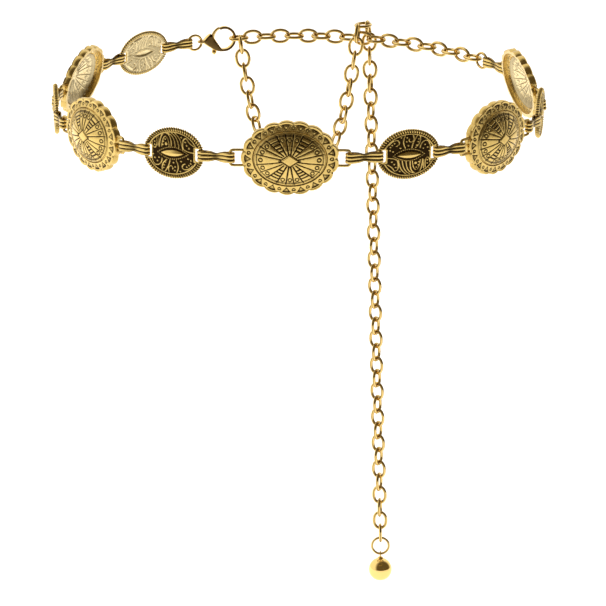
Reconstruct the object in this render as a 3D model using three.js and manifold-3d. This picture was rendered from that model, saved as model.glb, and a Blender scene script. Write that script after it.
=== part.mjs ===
// A concho chain belt in antique gold, closed as it is worn on the hips, with nobody in it.
// Millimetres, +Z up. The origin is the middle of the waist ring; the front faces -Y.
import * as THREE from "three";
import { mergeVertices } from "three/addons/utils/BufferGeometryUtils.js";
import Module from "manifold-3d";

const wasm = await Module();
wasm.setup();

const GOLD = new THREE.MeshStandardMaterial({ color: 0xb58b3c, roughness: 0.32, metalness: 1 });
const CHAIN_GOLD = new THREE.MeshStandardMaterial({ color: 0xd9a94e, roughness: 0.18, metalness: 1 });

// The waist ring: depth over width of its oval, the power that makes it a little squarer than an
// ellipse (whose power is 2) and how far its two sides sag, in millimetres. Then how far its front
// hangs below its back, and how far round the front concho sits from the middle.
const WAIST = { depthShare: 0.953, power: 2.09, sag: 3.84 };
const WEAR_TILT = THREE.MathUtils.degToRad(5.5);
const FRONT_SHIFT = -0.026;

// Clear space between one piece and the next.
const SEAM = 0.3;

// Big conchos: a cast shell with a scalloped skirt, a domed middle and a wire loop at each end.
const CONCHO = {
  halfWidth: 20, halfHeight: 15.6, scallops: 17, scallopDepth: 0.95, wall: 1,
  back: -1.7, shoulder: 1.2, flangeRise: 0.5, domeWidth: 15, domeHeight: 11.5, domeRise: 3.3,
  lozengeWidth: 2.9, lozengeHeight: 1.9, lozengeRise: 0.4, lozengeTaper: 0.3, lozengePoints: 8,
  loopReach: 4.3, loopHeight: 7.6, loopWire: 1.15, loopBend: 0.9,
};
// The dome's rings outside its lozenge, from the foot in: a share of the dome's size, a height above
// the flange as a share of the dome's rise, and the number of points.
const DOME_RINGS = [
  { share: 1, height: 0, points: 27 },
  { share: 0.94, height: 0.15, points: 27 },
  { share: 0.68, height: 0.62, points: 24 },
  { share: 0.36, height: 0.92, points: 12 },
];
// The hollow behind the dome, from the middle out, in the same way.
const HOLLOW_RINGS = [
  { share: 0.5, height: 0.75, points: 12 },
  { share: 0.92, height: 0, points: 24 },
];
// Small ovals: a thin domed plate with a rope edge, an almond boss and a slot at each end.
const OVAL = {
  halfWidth: 14, halfHeight: 10.6, halfEdge: 0.6, crown: 1.3, plate: 1.1,
  slotFrom: 9.9, slotTo: 12.2, slotHeight: 5.2, almondLength: 12.6, almondHeight: 4.4, almondRise: 0.6,
  almondTop: 0.55, almondPoints: 10, almondSunk: 0.66,
};
// An oval's rings from the middle behind, round the rope edge, to the middle in front: a share of
// its size, a height as a share of its crown, another added as a share of the edge's half
// thickness, and the number of points.
const OVAL_BACK = [
  { share: 0.5, crown: 0.7, edge: 0, points: 10 },
];
const OVAL_FRONT = [
  { share: 0.97, crown: 0, edge: -1, points: 26 },
  { share: 1, crown: 0, edge: 0.3, points: 26 },
  { share: 0.94, crown: 0, edge: 1, points: 20 },
  { share: 0.9, crown: 0, edge: 0.25, points: 20 },
  { share: 0.5, crown: 0.75, edge: 0, points: 10 },
];
// Strap links: three ribs side by side, pinched to a figure eight that goes round two bars.
const STRAP = {
  length: 11.8, rib: 1.2, groove: 0.3, grooveDepth: 0.3, band: 0.6, waist: 0.85,
  holeLength: 1.45, holeDepth: 1.1, holeCornerLength: 0.85, holeCornerDepth: 0.5,
};
// Cable chain: an oval link of round wire, drawn here with four flats.
const LINK = { length: 8.4, width: 6.9, wire: 1, segments: 8, bite: 0.06 };
const LINK_FLAT = LINK.wire * Math.sqrt(Math.PI) / 4;
const LINK_HALF = (LINK.length - LINK.wire) / 2;
const PITCH = 2 * (LINK_HALF - LINK_FLAT) + LINK.bite;
// The first link of a stretch hangs clear of the stretch before it.
const LOOSE_GAP = 0.45;
const LOOSE_PITCH = PITCH - LINK.bite - LOOSE_GAP;

const BACK_STRETCHES = [7, 6, 6];
const BACK_TWIST = THREE.MathUtils.degToRad(8);
const SWAG_STRETCHES = [6, 6, 6, 6];
const TAIL_LINKS = 38;
const TAIL_LEAN = THREE.MathUtils.degToRad(1.6);
// Degrees that the middle links of a hanging chain are turned, reached over so many links.
const CHAIN_TWIST = 30;
const TWIST_EASE = 6;
// Where the free chain leaves the clasped link and how it goes over the back chain: offsets along
// the ring, outward and up from a link's middle, and the directions up to the top and down again.
const WRAP = {
  swagFrom: [0.1, -3.05, 0.9], swagTurn: 80, overLink: 9, overHalf: [1.45, 3.4], overHeight: 6.3,
  upDirection: [0.1, 0.25, 0.96], downDirection: [0.15, 0.3, -0.94],
};

// Lobster clasp, measured from the middle of its hook bar.
const CLASP = {
  ringRadius: 6, centre: 5.35, opening: 4.7, hookThickness: 2.2, bodyThickness: 3.4,
  neckAt: 15.25, eyeAt: 16.35, eyeDrop: -1.2, eyeRadius: 1.3, eyeFlat: 0.38,
  leverThickness: 1.2, pinRadius: 0.5, pinAt: [11, 0.4], pinShort: 0.4, neckHalf: 0.9,
  ringFrom: 1.2, ringTo: 4.85, openingFrom: -1.35, openingTo: 0.87,
  hookZone: { width: 9, height: 16, at: 3.2 }, gateGap: { width: 5.2, height: 6, at: [9.2, 5.6] },
};
// Corners of the clasp, x and y: the wedge above and below its ring part, and the wedge's inner face.
const WEDGE_ABOVE = [[14.2, 0.9], [11.6, 3.1]];
const WEDGE_BELOW = [9.9, -5.3];
const WEDGE_FACE = [[10.9, 1.7], [6.4, -4.6]];
// The lever's corners, and which way each moves where the outline is made larger.
const LEVER_CORNERS = [
  { x: 6.9, y: 5.8, growX: -1, growY: 1 },
  { x: 6.9, y: 4.4, growX: -1, growY: -1 },
  { x: 10.3, y: 2.1, growX: -1, growY: -1 },
  { x: 8.9, y: -5.2, growX: -1, growY: 0 },
  { x: 9.2, y: -7.9, growX: -1, growY: -1 },
  { x: 10.4, y: -7.9, growX: 1, growY: -1 },
  { x: 11, y: -5.2, growX: 1, growY: 0 },
  { x: 12.3, y: 2.5, growX: 1, growY: 0.3 },
  { x: 9.2, y: 5, growX: 0, growY: 1.2 },
];
// Round jump rings: between a strap link and the clasp, and between a strap link and the chain.
const JUMP_RING = { length: 7.8, width: 7.8, wire: 0.9, segments: 14, slack: 0.5 };
// How far beyond the middle of the last link the clasp's hook bar lies.
const HOOK_REACH = 1.95;
// How deep the first link reaches into the jump ring.
const LINK_TUCK = JUMP_RING.wire * Math.sqrt(Math.PI) / 4 - JUMP_RING.slack / 2 + SEAM;

const END_RING = { diameter: 9.2, wire: 1 };
const BALL = { diameter: 11.4, eyeRadius: 1.4, eyeFlat: 0.31, capRadius: 1.5, capHeight: 1.2, drop: 8 };

const evenOut = (halfWidth, halfHeight) => (halfWidth - halfHeight) / (2 * (halfWidth + halfHeight));

// A solid in manifold-3d from a closed three.js geometry.
function solidOf(geometry) {
  const positions = new THREE.BufferGeometry();
  const flat = geometry.index ? geometry.toNonIndexed() : geometry;
  positions.setAttribute("position", flat.getAttribute("position"));
  const merged = mergeVertices(positions, 1e-4);
  return new wasm.Manifold(new wasm.Mesh({
    numProp: 3,
    vertProperties: merged.attributes.position.array,
    triVerts: new Uint32Array(merged.index.array),
  }));
}

function geometryOf(solid) {
  const mesh = solid.getMesh();
  const geometry = new THREE.BufferGeometry();
  geometry.setAttribute("position", new THREE.BufferAttribute(mesh.vertProperties, 3));
  geometry.setIndex(new THREE.BufferAttribute(mesh.triVerts, 1));
  return geometry.toNonIndexed();
}

function join(geometries) {
  return geometryOf(wasm.Manifold.union(geometries.map(solidOf)));
}

function cut(geometry, tools) {
  return geometryOf(solidOf(geometry).subtract(wasm.Manifold.union(tools.map(solidOf))));
}

function geometryFrom(triangles) {
  const geometry = new THREE.BufferGeometry();
  const values = triangles.flatMap((p) => [p.x, p.y, p.z]);
  geometry.setAttribute("position", new THREE.BufferAttribute(new Float32Array(values), 3));
  return geometry;
}

// A closed skin over rings of points, each anticlockwise seen from +Z, from the lowest middle
// point round to the highest one. Neighbouring rings may have different numbers of points.
function skin(rings) {
  const triangles = [];
  for (let k = 0; k + 1 < rings.length; k++) {
    const [low, high] = [rings[k], rings[k + 1]];
    let [i, j] = [0, 0];
    const [lowSteps, highSteps] = [low, high].map((ring) => (ring.length > 1 ? ring.length : 0));
    while (i < lowSteps || j < highSteps) {
      const stepLow = j >= highSteps || (i < lowSteps && (i + 1) / lowSteps <= (j + 1) / highSteps);
      const [a, b] = [low[i % low.length], high[j % high.length]];
      if (stepLow) {
        i += 1;
        triangles.push(a, low[i % low.length], b);
      } else {
        j += 1;
        triangles.push(a, high[j % high.length], b);
      }
    }
  }
  return geometryFrom(triangles);
}

// Points round an ellipse, evenly spaced along its edge, pushed out by bump(share of the way).
function ovalRing(count, halfWidth, halfHeight, z, bump = () => 0) {
  const correction = evenOut(halfWidth, halfHeight);
  return Array.from({ length: count }, (_, i) => {
    const share = i / count;
    const angle = 2 * Math.PI * share + correction * Math.sin(4 * Math.PI * share);
    const out = bump(share);
    return new THREE.Vector3((halfWidth + out) * Math.cos(angle), (halfHeight + out) * Math.sin(angle), z);
  });
}

const middle = (z) => [new THREE.Vector3(0, 0, z)];

// A ring of wire along a flat closed path, with a many-sided section whose flats face in and out.
function wireRing(path, flat, sides = 4) {
  const corner = flat / Math.cos(Math.PI / sides);
  const section = Array.from({ length: sides }, (_, j) => {
    const angle = (2 * j + 1) * Math.PI / sides;
    return [corner * Math.cos(angle), corner * Math.sin(angle)];
  });
  const rows = path.map((point, i) => {
    const before = path[(i + path.length - 1) % path.length];
    const after = path[(i + 1) % path.length];
    const along = after.clone().sub(before).normalize();
    const inEdge = point.clone().sub(before).normalize();
    const mitre = 1 / Math.max(0.3, along.dot(inEdge));
    const out = new THREE.Vector2(along.y, -along.x).multiplyScalar(mitre);
    return section.map(([u, v]) => new THREE.Vector3(point.x + out.x * u, point.y + out.y * u, v));
  });
  const triangles = [];
  rows.forEach((row, i) => {
    const next = rows[(i + 1) % rows.length];
    for (let j = 0; j < sides; j++) {
      const k = (j + 1) % sides;
      triangles.push(row[j], row[k], next[j], next[j], row[k], next[k]);
    }
  });
  return geometryFrom(triangles.reverse());
}

// An oval loop whose end segments lie square across its length, so that links meet flat to flat.
function ovalPath(halfLength, halfWidth, segments) {
  const half = Math.PI / segments;
  return Array.from({ length: segments }, (_, i) => {
    const angle = (2 * i + 1) * half;
    return new THREE.Vector2(halfLength / Math.cos(half) * Math.cos(angle), halfWidth * Math.sin(angle));
  });
}

function linkGeometry({ length, width, wire, segments = LINK.segments }) {
  const path = ovalPath((length - wire) / 2, (width - wire) / 2, segments);
  return wireRing(path, wire * Math.sqrt(Math.PI) / 4);
}

// An extrusion of a flat shape, centred on z = 0.
function plate(shape, thickness, curveSegments = 6) {
  const geometry = new THREE.ExtrudeGeometry(shape, { depth: thickness, bevelEnabled: false, curveSegments });
  return geometry.translate(0, 0, -thickness / 2);
}

const shapeOf = (points) => new THREE.Shape(points.map(([x, y]) => new THREE.Vector2(x, y)));

function conchoShell() {
  const c = CONCHO;
  const scallop = (share) => {
    const v = (share * c.scallops) % 1;
    return c.scallopDepth * (Math.pow(Math.sin(Math.PI * v), 0.7) - 1);
  };
  const edge = (inset, z, count) => ovalRing(count, c.halfWidth - inset, c.halfHeight - inset, z, scallop);
  const inner = (inset, z, count) => ovalRing(count, c.halfWidth - inset, c.halfHeight - inset, z);
  const fine = 3 * c.scallops;
  const coarse = 27;
  const edgeTaper = 0.2;
  const skirtInset = c.scallopDepth + c.wall;
  const flange = c.shoulder + c.flangeRise;
  const crown = flange + c.domeRise;
  const dome = (drop) => ({ share, height, points }) => (
    ovalRing(points, c.domeWidth * share, c.domeHeight * share, flange + height * c.domeRise - drop));
  const lozenge = (inset, z) => ovalRing(c.lozengePoints, c.lozengeWidth - inset, c.lozengeHeight - inset, z);
  return skin([
    middle(crown - c.wall),
    ...HOLLOW_RINGS.map(dome(c.wall)),
    inner(skirtInset, c.shoulder - c.wall, coarse),
    inner(skirtInset, c.back, coarse),
    edge(0, c.back, fine),
    edge(edgeTaper, c.shoulder, fine),
    ...DOME_RINGS.map(dome(0)),
    lozenge(0, crown),
    lozenge(c.lozengeTaper, crown + c.lozengeRise),
    middle(crown + c.lozengeRise),
  ]);
}

// Half a D loop at the +X end: a bent wire that starts and ends inside the skirt.
function endLoop() {
  const c = CONCHO;
  const halfHeight = (c.loopHeight - c.loopWire) / 2;
  const intoSkirt = 0.6 * c.wall;
  const root = c.halfWidth - c.scallopDepth - intoSkirt;
  const bar = c.halfWidth + c.loopReach;
  const points = [
    [root, halfHeight], [bar - c.loopBend, halfHeight], [bar, halfHeight - c.loopBend],
    [bar, c.loopBend - halfHeight], [bar - c.loopBend, -halfHeight], [root, -halfHeight],
  ];
  return sweep(points.map(([x, y]) => new THREE.Vector2(x, y)), c.loopWire / 2);
}

// A flat open path of wire with six sides and closed ends.
function sweep(path, radius, sides = 6) {
  const rows = path.map((point, i) => {
    const before = path[Math.max(0, i - 1)];
    const after = path[Math.min(path.length - 1, i + 1)];
    const along = after.clone().sub(before).normalize();
    const edge = (i > 0 ? point.clone().sub(before) : after.clone().sub(point)).normalize();
    const out = new THREE.Vector2(along.y, -along.x).multiplyScalar(1 / along.dot(edge));
    return Array.from({ length: sides }, (_, j) => {
      const angle = 2 * Math.PI * (j + 0.5) / sides;
      const u = radius * Math.cos(angle);
      return new THREE.Vector3(point.x + out.x * u, point.y + out.y * u, radius * Math.sin(angle));
    });
  });
  const triangles = [];
  for (let i = 0; i + 1 < rows.length; i++) {
    for (let j = 0; j < sides; j++) {
      const k = (j + 1) % sides;
      triangles.push(rows[i][j], rows[i + 1][j], rows[i][k], rows[i][k], rows[i + 1][j], rows[i + 1][k]);
    }
  }
  const [first, last] = [rows[0], rows[rows.length - 1]];
  for (let j = 1; j + 1 < sides; j++) {
    triangles.push(first[0], first[j], first[j + 1], last[0], last[j + 1], last[j]);
  }
  return geometryFrom(triangles);
}

function conchoGeometry() {
  const right = endLoop();
  const left = right.clone().rotateZ(Math.PI);
  return join([conchoShell(), right, left]);
}

function ovalGeometry() {
  const o = OVAL;
  const ring = (drop) => ({ share, crown, edge, points }) => (
    ovalRing(points, o.halfWidth * share, o.halfHeight * share, crown * o.crown + edge * o.halfEdge - drop));
  const plateShell = skin([
    middle(o.crown - o.plate), ...OVAL_BACK.map(ring(o.plate)), ...OVAL_FRONT.map(ring(0)), middle(o.crown),
  ]);
  const slotLength = o.slotTo - o.slotFrom;
  const slot = new THREE.BoxGeometry(slotLength, o.slotHeight, 4 * o.plate);
  const slotAt = (o.slotFrom + o.slotTo) / 2;
  const slots = [slot.clone().translate(slotAt, 0, 0), slot.clone().translate(-slotAt, 0, 0)];
  return join([cut(plateShell, slots), almond()]);
}

// The raised eye in the middle of a small oval, highest along its long axis.
function almond() {
  const o = OVAL;
  const outline = (share, z) => Array.from({ length: o.almondPoints }, (_, i) => {
    const angle = 2 * Math.PI * i / o.almondPoints;
    const x = share * o.almondLength / 2 * Math.cos(angle);
    const y = share * o.almondHeight / 2 * Math.sin(angle) * Math.abs(Math.sin(angle));
    return new THREE.Vector3(x, y, z);
  });
  const low = o.crown - o.almondSunk;
  const high = o.crown + o.almondRise;
  return skin([middle(low), outline(1, low), outline(1, o.crown), outline(o.almondTop, high), middle(high)]);
}

function strapGeometry() {
  const s = STRAP;
  const half = s.length / 2;
  const [x1, z1] = [s.holeLength, s.holeCornerDepth];
  const [x2, z2] = [s.holeCornerLength, s.holeDepth];
  const outline = (inset) => {
    const b = s.band - inset;
    const end = [[x2, z2 + b], [x1 + b, z1], [x1 + b, -z1], [x2, -z2 - b]];
    const right = end.map(([x, z]) => [half + x, z]);
    const left = end.map(([x, z]) => [-half - x, -z]);
    return shapeOf([[0, s.waist - inset], ...right, [0, inset - s.waist], ...left].reverse());
  };
  const holeAt = (x) => shapeOf([
    [x + x1, 0], [x + x2, z2], [x - x2, z2], [x - x1, 0], [x - x2, -z2], [x + x2, -z2],
  ]);
  const height = 3 * s.rib + 2 * s.groove;
  const holes = [holeAt(half), holeAt(-half)].map((hole) => plate(hole, 2 * height));
  const core = plate(outline(s.grooveDepth), height);
  const ribStep = s.rib + s.groove;
  const ribs = [-1, 0, 1].map((k) => plate(outline(0), s.rib).translate(0, 0, k * ribStep));
  return cut(join([core, ...ribs]), holes).rotateX(Math.PI / 2);
}

// The clasp lies with its hook bar at the origin, its length along +X and its eye at the far end.
function claspOutline() {
  const c = CLASP;
  const shape = new THREE.Shape();
  shape.moveTo(c.neckAt, c.eyeDrop - c.neckHalf);
  shape.lineTo(c.neckAt, c.eyeDrop + c.neckHalf);
  WEDGE_ABOVE.forEach(([x, y]) => shape.lineTo(x, y));
  shape.absarc(c.centre, 0, c.ringRadius, c.ringFrom, c.ringTo, false);
  shape.lineTo(...WEDGE_BELOW);
  return shape;
}

// The round opening, cut off by the slanting inner face of the wedge.
function claspOpening() {
  const c = CLASP;
  const shape = new THREE.Shape();
  shape.moveTo(...WEDGE_FACE[0]);
  shape.lineTo(...WEDGE_FACE[1]);
  shape.absarc(c.centre, 0, c.opening, c.openingFrom, c.openingTo, true);
  return shape;
}

// The lever as a flat plate: the gate arm that closes the ring, a stem and the thumb knob below.
function leverShape(grow) {
  return shapeOf(LEVER_CORNERS.map(({ x, y, growX, growY }) => [x + grow * growX, y + grow * growY]));
}

function claspBody() {
  const c = CLASP;
  const opening = plate(claspOpening(), 2 * c.bodyThickness, 10);
  const whole = plate(claspOutline(), c.bodyThickness, 10);
  const shave = (c.hookThickness + c.bodyThickness) / 2;
  const hookZone = (z) => new THREE.BoxGeometry(c.hookZone.width, c.hookZone.height, c.bodyThickness)
    .translate(c.hookZone.at, 0, z);
  const leverPocket = plate(leverShape(SEAM), c.leverThickness + 2 * SEAM);
  const gateGap = new THREE.BoxGeometry(c.gateGap.width, c.gateGap.height, 2 * c.bodyThickness)
    .translate(...c.gateGap.at, 0);
  const body = cut(whole, [opening, hookZone(shave), hookZone(-shave), leverPocket, gateGap]);
  const pin = claspPin(c.pinRadius, c.bodyThickness - c.pinShort);
  const eye = wireRing(ovalPath(c.eyeRadius, c.eyeRadius, 10), c.eyeFlat).rotateX(Math.PI / 2)
    .translate(c.eyeAt, c.eyeDrop, 0);
  return join([body, pin, eye]);
}

const claspPin = (radius, length) => new THREE.CylinderGeometry(radius, radius, length, 8)
  .rotateX(Math.PI / 2).translate(...CLASP.pinAt, 0);

function claspLever() {
  const c = CLASP;
  return cut(plate(leverShape(0), c.leverThickness), [claspPin(c.pinRadius + SEAM, 2 * c.bodyThickness)]);
}

// Points of the waist oval, in the ring's own level frame.
function waistPoint(angle, halfWidth) {
  const [c, s] = [Math.cos(angle), Math.sin(angle)];
  const squarer = (v) => Math.sign(v) * Math.abs(v) ** (2 / WAIST.power);
  return new THREE.Vector3(
    halfWidth * squarer(c), halfWidth * WAIST.depthShare * squarer(s), -WAIST.sag * squarer(c) ** 2);
}

// The step of each link in a chain made in stretches.
function pitches(stretches) {
  return stretches.flatMap((count, k) => (
    Array.from({ length: count }, (_, i) => (k > 0 && i === 0 ? LOOSE_PITCH : PITCH))));
}

// Walks round the oval in straight steps: each returns the points where it starts and ends.
function walker(halfWidth, startAngle) {
  let angle = startAngle;
  const step = (length) => {
    const from = waistPoint(angle, halfWidth);
    let [near, far] = [angle, angle + Math.sign(length)];
    for (let i = 0; i < 40; i++) {
      const half = (near + far) / 2;
      if (waistPoint(half, halfWidth).distanceTo(from) < Math.abs(length)) near = half;
      else far = half;
    }
    angle = near;
    return { from, to: waistPoint(angle, halfWidth) };
  };
  const angleNow = () => angle;
  return { step, angleNow };
}

const CONCHO_PITCH = 2 * (CONCHO.halfWidth + CONCHO.loopReach);
const OVAL_PITCH = OVAL.slotTo + OVAL.halfWidth;
const CLASP_LENGTH = Math.hypot(CLASP.eyeAt, CLASP.eyeDrop);
const JUMP_RING_STEP = JUMP_RING.length - JUMP_RING.wire - JUMP_RING.slack;

// The pieces round the waist, from the right of the front concho back to its left.
const RIGHT_SIDE = [
  "strap_01", "oval_right_front", "strap_02", "concho_right_front", "strap_03",
  "oval_right_side", "strap_04", "concho_right_back", "strap_05",
];
const LEFT_SIDE = [
  "strap_06", "oval_left_back", "strap_07", "concho_left_back", "strap_08",
  "oval_left_side", "strap_09", "concho_left_front", "strap_10", "oval_left_front", "strap_11",
];
// How far some pieces lean about their own length, in degrees: positive where the top leans outward.
const LEAN = {
  strap_06: -2, oval_left_back: -9, strap_07: -12, concho_left_back: -14, strap_08: -6,
  strap_10: -3, oval_left_front: -6, strap_11: -3,
  strap_04: -5, concho_right_back: -12, strap_05: -1,
};
const PIECE_LENGTH = { strap: STRAP.length, oval: OVAL_PITCH, concho: CONCHO_PITCH };
const PIECE_SHAPE = { strap: strapGeometry(), oval: ovalGeometry(), concho: conchoGeometry() };
const kindOf = (name) => name.split("_")[0];

// Lays the closed ring out on an oval of this half width. The last step ends at endAngle.
function layOut(halfWidth) {
  const frontAngle = -Math.PI / 2 + FRONT_SHIFT;
  const walk = walker(halfWidth, frontAngle);
  walk.step(CONCHO_PITCH / 2);
  const startAngle = walk.angleNow();
  const pieces = new Map();
  RIGHT_SIDE.forEach((name) => pieces.set(name, walk.step(PIECE_LENGTH[kindOf(name)])));
  pieces.set("chain_ring", walk.step(JUMP_RING_STEP));
  walk.step(-LINK_TUCK);
  const links = pitches(BACK_STRETCHES).map((pitch) => walk.step(pitch));
  walk.step(HOOK_REACH - PITCH / 2);
  pieces.set("clasp", walk.step(CLASP_LENGTH));
  pieces.set("clasp_ring", walk.step(JUMP_RING_STEP));
  LEFT_SIDE.forEach((name) => pieces.set(name, walk.step(PIECE_LENGTH[kindOf(name)])));
  pieces.set("concho_front", walk.step(CONCHO_PITCH));
  const overrun = walk.angleNow() - startAngle - 2 * Math.PI;
  return { pieces, links, overrun };
}

// The ring closes where its pieces just go round once, which sets its size.
function closedRing() {
  let [small, large] = [80, 140];
  for (let i = 0; i < 40; i++) {
    const half = (small + large) / 2;
    if (layOut(half).overrun > 0) small = half;
    else large = half;
  }
  return layOut((small + large) / 2);
}

// Turns local X along the step, with local Y as near the hint as it can be.
function frameAlong(from, to, hint) {
  const x = to.clone().sub(from).normalize();
  const y = hint.clone().addScaledVector(x, -x.dot(hint)).normalize();
  return new THREE.Matrix4().makeBasis(x, y, new THREE.Vector3().crossVectors(x, y));
}

const UP = new THREE.Vector3(0, 0, 1);

function meshOn(name, geometry, material, { from, to }) {
  const mesh = new THREE.Mesh(geometry, material);
  mesh.name = name;
  mesh.position.copy(from).add(to).multiplyScalar(0.5);
  mesh.quaternion.setFromRotationMatrix(frameAlong(from, to, UP));
  mesh.rotateX(THREE.MathUtils.degToRad(LEAN[name] || 0));
  return mesh;
}

const LINK_SHAPE = linkGeometry(LINK);

// A link in its place: its far end lies at the end of its step, whatever slack it has behind it.
function linkOn({ from, to }, hint) {
  const frame = frameAlong(from, to, hint);
  const along = new THREE.Vector3().setFromMatrixColumn(frame, 0);
  frame.setPosition(to.clone().addScaledVector(along, -PITCH / 2));
  return LINK_SHAPE.clone().applyMatrix4(frame);
}

function chainMesh(name, links) {
  const mesh = new THREE.Mesh(join(links), CHAIN_GOLD);
  mesh.name = name;
  return mesh;
}

function addStretches(group, name, links, counts) {
  let first = 0;
  counts.forEach((count, k) => {
    group.add(chainMesh(`${name}_${k + 1}`, links.slice(first, first + count)));
    first += count;
  });
}

// The joints of a slack chain between two points level with each other or not: each link's slope
// grows by the same amount, as in a chain of equal weights.
function hang(start, end, lengths) {
  const count = lengths.length;
  const across = new THREE.Vector3(end.x - start.x, end.y - start.y, 0);
  const span = across.length();
  across.normalize();
  const rise = end.z - start.z;
  const joints = (tension, lowest) => {
    const points = [start.clone()];
    for (let i = 0; i < count; i++) {
      const slope = Math.atan2(i - lowest, tension);
      const step = across.clone().multiplyScalar(Math.cos(slope)).addScaledVector(UP, Math.sin(slope));
      points.push(points[i].clone().addScaledVector(step, lengths[i]));
    }
    return points;
  };
  const bisect = (low, high, tooLow) => {
    for (let i = 0; i < 50; i++) {
      const half = (low + high) / 2;
      if (tooLow(half)) low = half;
      else high = half;
    }
    return (low + high) / 2;
  };
  const last = (points) => points[count];
  const lowestFor = (tension) => bisect(0, count, (m) => last(joints(tension, m)).z - start.z > rise);
  const spanOf = (points) => Math.hypot(last(points).x - start.x, last(points).y - start.y);
  const tension = bisect(0.01, 60, (k) => spanOf(joints(k, lowestFor(k))) < span);
  return joints(tension, lowestFor(tension));
}

const belt = new THREE.Group();
const ring = new THREE.Group();
ring.rotation.x = WEAR_TILT;
belt.add(ring);

const { pieces, links } = closedRing();
for (const [name, place] of pieces) {
  const shape = PIECE_SHAPE[kindOf(name)];
  if (shape) ring.add(meshOn(name, shape, GOLD, place));
}
for (const name of ["chain_ring", "clasp_ring"]) {
  ring.add(meshOn(name, linkGeometry(JUMP_RING), CHAIN_GOLD, pieces.get(name)));
}

// The clasp is turned so that its hook bar and its eye both lie on the ring.
const claspPlace = pieces.get("clasp");
const claspTurn = -Math.atan2(CLASP.eyeDrop, CLASP.eyeAt);
const onRing = (geometry) => geometry.rotateZ(claspTurn).translate(-CLASP_LENGTH / 2, 0, 0);
ring.add(meshOn("clasp_body", onRing(claspBody()), CHAIN_GOLD, claspPlace));
ring.add(meshOn("clasp_lever", onRing(claspLever()), CHAIN_GOLD, claspPlace));

// Back chain: every other link lies flat, the first and the last too; the clasp hooks into the last.
// Between its ends the chain is turned a little about its own length, with its inner side down.
ring.updateMatrixWorld(true);
const inward = ({ from, to }) => new THREE.Vector3().crossVectors(UP, to.clone().sub(from)).normalize();
const linkShapes = links.map((step, i) => {
  const hint = i % 2 ? UP : inward(step);
  const twist = -BACK_TWIST * Math.sin(Math.PI * i / (links.length - 1));
  return linkOn(step, hint.clone().applyAxisAngle(step.to.clone().sub(step.from).normalize(), twist));
});
addStretches(ring, "chain_back", linkShapes, BACK_STRETCHES);

// Directions at a back link, in the belt's frame: along the ring, outward and up.
function directionsAt(step) {
  const turn = (v) => v.transformDirection(ring.matrixWorld);
  const along = turn(step.to.clone().sub(step.from).normalize());
  const out = turn(inward(step).negate());
  const up = turn(UP.clone());
  const at = ring.localToWorld(step.from.clone().add(step.to).multiplyScalar(0.5));
  const offset = (a, o, u) => at.clone().addScaledVector(along, a).addScaledVector(out, o).addScaledVector(up, u);
  return { along, out, up, offset };
}

// The free end of the chain: from the clasped link down in a swag, over the back chain and down.
const clasped = directionsAt(links[links.length - 1]);
const hookedOver = directionsAt(links[WRAP.overLink]);
const swagStart = clasped.offset(...WRAP.swagFrom);
const overStart = hookedOver.offset(WRAP.overHalf[0], -WRAP.overHalf[1], WRAP.overHeight);
const overEnd = hookedOver.offset(-WRAP.overHalf[0], WRAP.overHalf[1], WRAP.overHeight);
const step3 = (direction, length) => new THREE.Vector3(...direction).normalize().multiplyScalar(length);
const swagEnd = overStart.clone().sub(step3(WRAP.upDirection, LOOSE_PITCH));
const tailStart = overEnd.clone().add(step3(WRAP.downDirection, PITCH));

// Links from joint to joint in a plane whose normal is side: a turn of 0 shows a link's face there.
const chainAlong = (joints, side, turn) => joints.slice(1).map((to, i) => {
  const angle = THREE.MathUtils.degToRad(turn(i));
  const across = new THREE.Vector3().crossVectors(side, to.clone().sub(joints[i])).normalize();
  const hint = across.multiplyScalar(Math.cos(angle)).addScaledVector(side, Math.sin(angle));
  return linkOn({ from: joints[i], to }, hint);
});
// A hanging chain's ends hang square, and the links between are turned about its length.
const easedTwist = (i, count) => CHAIN_TWIST * Math.min(1, i / TWIST_EASE, (count - 1 - i) / TWIST_EASE);
const BACKWARD = new THREE.Vector3(0, 1, 0);
const swagJoints = hang(swagStart, swagEnd, pitches(SWAG_STRETCHES));
// Its first link is turned to miss the clasped one, and the turn is made up evenly along the swag.
const swagLinks = swagJoints.length - 1;
const swagTurn = (i) => (
  WRAP.swagTurn + 90 * i + (90 - WRAP.swagTurn) * i / (swagLinks - 1) + easedTwist(i, swagLinks));
const swagSide = new THREE.Vector3().crossVectors(UP, swagEnd.clone().sub(swagStart)).normalize();
addStretches(belt, "chain_swag", chainAlong(swagJoints, swagSide, swagTurn), SWAG_STRETCHES);

const overLinks = [
  linkOn({ from: swagEnd, to: overStart }, hookedOver.out),
  linkOn({ from: overStart, to: overEnd }, hookedOver.along),
  linkOn({ from: overEnd, to: tailStart }, hookedOver.out),
];
belt.add(chainMesh("chain_over", overLinks));

const tailDirection = [Math.sin(TAIL_LEAN), 0, -Math.cos(TAIL_LEAN)];
const tailJoints = [tailStart, ...Array.from({ length: TAIL_LINKS }, (_, i) => (
  tailStart.clone().add(step3(tailDirection, LOOSE_PITCH + i * PITCH))))];
const tailTurn = (i) => 90 * i + easedTwist(i, TAIL_LINKS);
belt.add(chainMesh("chain_tail", chainAlong(tailJoints, BACKWARD, tailTurn)));

// The ring at the end of the tail, and the ball that swings on it.
const endRadius = (END_RING.diameter - END_RING.wire) / 2;
const endFlat = END_RING.wire * Math.sqrt(Math.PI) / 4;
const endCentre = tailJoints[TAIL_LINKS].clone().addScaledVector(UP, -(endRadius - endFlat - SEAM));
const endRing = new THREE.Mesh(wireRing(ovalPath(endRadius, endRadius, 16), endFlat), CHAIN_GOLD);
endRing.name = "end_ring";
endRing.rotation.set(Math.PI / 2, 0, 0);
endRing.position.copy(endCentre);
belt.add(endRing);

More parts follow.
